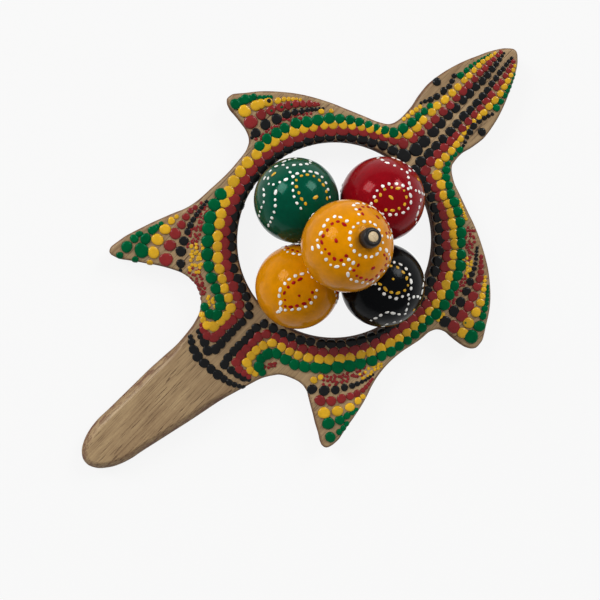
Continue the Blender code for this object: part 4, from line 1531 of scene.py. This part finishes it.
YELLOW_PETAL = [(-27, 30), (-29, 43), (-26, 55), (-21, 66), (-7, 76), (2, 84), (6, 78), (20, 63), (28, 53),
                (32, 44), (30, 33)]
print("stops of the crown's petal", len(CROWN_PETAL))

# %% Designs of the balls
INNER_SHARE = 0.72
BALL_LINES = {
    "crown": dict(
        turns=(150, 22, -103), ring=22, hearts=[(0, 38)],
        tinted=[CROWN_INNER],
        white=[CROWN_PETAL,
               [(5, 72)]],
    ),
    "red": dict(
        turns=(0, 180), ring=20, hearts=[(0, 48), (-14, 106)],
        tinted=[inside(RED_PETAL, (-2, 49), INNER_SHARE)],
        white=[RED_PETAL,
               [(-12, 80), (-25, 90), (-36, 103)],
               [(-5, 82), (3, 91), (5, 97), (4, 104)],
               [(14, 93), (25, 92), (36, 93), (44, 97), (52, 102)],
               [(-36, 87), (-46, 79), (-58, 74), (-67, 79)],
               [(-2, 118), (22, 117), (36, 119)]],
    ),
    "green": dict(
        turns=(0, 180), ring=17, hearts=[(-32, 36), (-2, 99)],
        tinted=[GREEN_INNER],
        white=[GREEN_PETAL,
               [(-19, 83), (-21, 92), (-20, 104), (-14, 110)],
               [(-8, 77), (1, 81), (8, 86), (11, 93), (7, 102)],
               [(14, 76), (24, 70), (35, 66), (45, 66), (57, 69), (66, 74)],
               [(22, 97), (30, 89), (41, 87), (60, 93)],
               [(-30, 91), (-42, 87), (-53, 87), (-60, 94)],
               [(-27, 110), (-44, 108)],
               [(-3, 111), (10, 110)]],
    ),
    "black": dict(
        turns=(0, 180), ring=18, hearts=[(19, 41), (4, 103)],
        tinted=[inside(BLACK_PETAL, (19, 45), INNER_SHARE)],
        white=[BLACK_PETAL,
               [(10, 76), (4, 80), (-2, 85), (-9, 93)],
               [(16, 82), (20, 90), (22, 98)],
               [(-14, 85), (-19, 77), (-27, 71), (-37, 72), (-54, 79)],
               [(31, 97), (39, 94), (48, 97), (57, 103)],
               [(-19, 103), (-28, 96), (-36, 95), (-46, 102)]],
    ),
    "yellow": dict(
        turns=(0, 118, -118), ring=20, hearts=[(4, 51)],
        tinted=[inside(YELLOW_PETAL, (2, 53), INNER_SHARE)],
        white=[YELLOW_PETAL,
               [(1, 88), (0, 92)]],
    ),
}
print("ball designs", list(BALL_LINES))

# %% Places and strings of drops on a ball
BALL_PACKING = 2.15
BALL_SPAN = 12
BALL_PLAY = 0.18
TURN_PLAY = 0.2


def directions(name, places):
    """Unit vectors of azimuth and polar places on a ball: the axis by the cosine of the polar angle, plus
    the two side axes by its sine, shared out by the azimuth."""
    first, second = side_axes(ball_axis[name], BALL_ZERO[name])
    azimuth, polar = np.radians(np.asarray(places, dtype=float)).T[:, :, None]
    around = np.cos(azimuth) * first + np.sin(azimuth) * second
    return np.cos(polar) * ball_axis[name] + np.sin(polar) * around


def strung(name, lines, radius):
    """Directions of drops strung along lines on a ball, and for each the direction of its line."""
    strings = []
    for places in lines:
        path = directions(name, smooth_line(places, BALL_SPAN))
        ahead = np.gradient(path, axis=0) if len(path) > 1 else np.cross(path, ball_axis[name])
        width = np.full(len(path), 2 * radius * BALL_PACKING / ball_radius[name])
        strings.append(spaced(np.hstack([path, ahead]), width, 3))
    strings = np.concatenate(strings)
    strings[:, :3] += dice.normal(0, BALL_PLAY * radius / ball_radius[name], (len(strings), 3))
    return unit(strings[:, :3]), unit(strings[:, 3:]) + dice.normal(0, TURN_PLAY, (len(strings), 3))


def turned_lines(lines, turns):
    """Lines copied round the axis, each copy turned on by an azimuth."""
    return [np.asarray(line, dtype=float) + (turn, 0) for turn in turns for line in lines]


print("lines of the crown's petals", len(turned_lines([CROWN_PETAL], BALL_LINES["crown"]["turns"])))

# %% Lay the drops on the balls
WHITE_RADIUS = 0.88 * MM
TINT_RADIUS = 0.86 * MM
BALL_DROP_HEIGHT = 0.34 * MM
BALL_SPREAD = (0.76, 1.16)
SHORTEST_DROP = 0.95
LONGEST_DROP = 1.9
RING_PACKING = 1.9


def lay_on_ball(name, towards, ahead, radius):
    """Drops wrapped on a ball: each point is set off from its drop's direction along and across the row,
    brought back on the sphere by making it a unit vector again, and lifted by its height."""
    radii = radius * dice.uniform(*BALL_SPREAD, len(towards))
    longer = dice.uniform(0, 1, (len(towards), 1)) ** 2
    stretch = SHORTEST_DROP + (LONGEST_DROP - SHORTEST_DROP) * longer
    along, across, rise = drop_shapes(radii, np.full(len(towards), BALL_DROP_HEIGHT))
    row = unit(ahead - towards * np.sum(ahead * towards, axis=1, keepdims=True))
    square = np.cross(towards, row)
    reach = ball_radius[name]
    along_row = (along * stretch)[..., None] * row[:, None]
    points = reach * towards[:, None] + along_row + across[..., None] * square[:, None]
    return ball_centre[name] + unit(points) * (reach + rise)[..., None]


def around_axis(polar, count):
    """Places all round the axis at one polar angle, without the last, which would meet the first."""
    azimuth = np.linspace(0, 360, count, endpoint=False)
    return np.column_stack([azimuth, np.full(count, polar)])


def paint_ball(name):
    """All drops of one ball: white outlines, bows and ring, tinted inner outlines, and the hearts."""
    design = BALL_LINES[name]
    tint = "dark_red" if name in ("yellow", "crown") else "yellow"
    body = "frame" if name == "crown" else name + "_ball"
    ring_length = 2 * np.pi * ball_radius[name] * np.sin(np.radians(design["ring"]))
    ring_count = int(ring_length / (2 * WHITE_RADIUS * RING_PACKING))
    ring_drops = [[place] for place in around_axis(design["ring"], ring_count)]
    hearts = turned_lines([[place] for place in design["hearts"]], design["turns"])
    layers = {
        "white": (turned_lines(design["white"], design["turns"]) + ring_drops, WHITE_RADIUS),
        tint: (turned_lines(design["tinted"], design["turns"]) + hearts, TINT_RADIUS),
    }
    for paint, (lines, radius) in layers.items():
        points = lay_on_ball(name, *strung(name, lines, radius), radius)
        add_drops(name + "_ball_" + paint, points, drop_paint[paint], body)


for ball_name in BALL_LINES:
    paint_ball(ball_name)

# %% [markdown]
# ## Seeds
#
# The dry seeds inside the balls make the sound. They can't be seen, so the frame's own seeds stay, with a
# brown husk finish for anyone who opens a ball.

# %% Seed husk
SEED_BROWN = colour(110, 72, 40)
SEED_DARK = colour(70, 42, 22)

seed_husk, tree, shader = new_finish("seed_husk")
place = node(tree, "ShaderNodeTexCoord").outputs["Object"]
husk = effect(tree, grain, Vector=place, Light=SEED_BROWN, Dark=SEED_DARK, Pore=SEED_DARK)
dress(tree, shader, husk, strength=0.4, depth=0.2 * MM)
seeds = [item for name, item in frame["nodes"].items() if "_seed_" in name]
for seed in seeds:
    seed.data.materials.clear()
    seed.data.materials.append(seed_husk)
print("seeds finished", len(seeds))
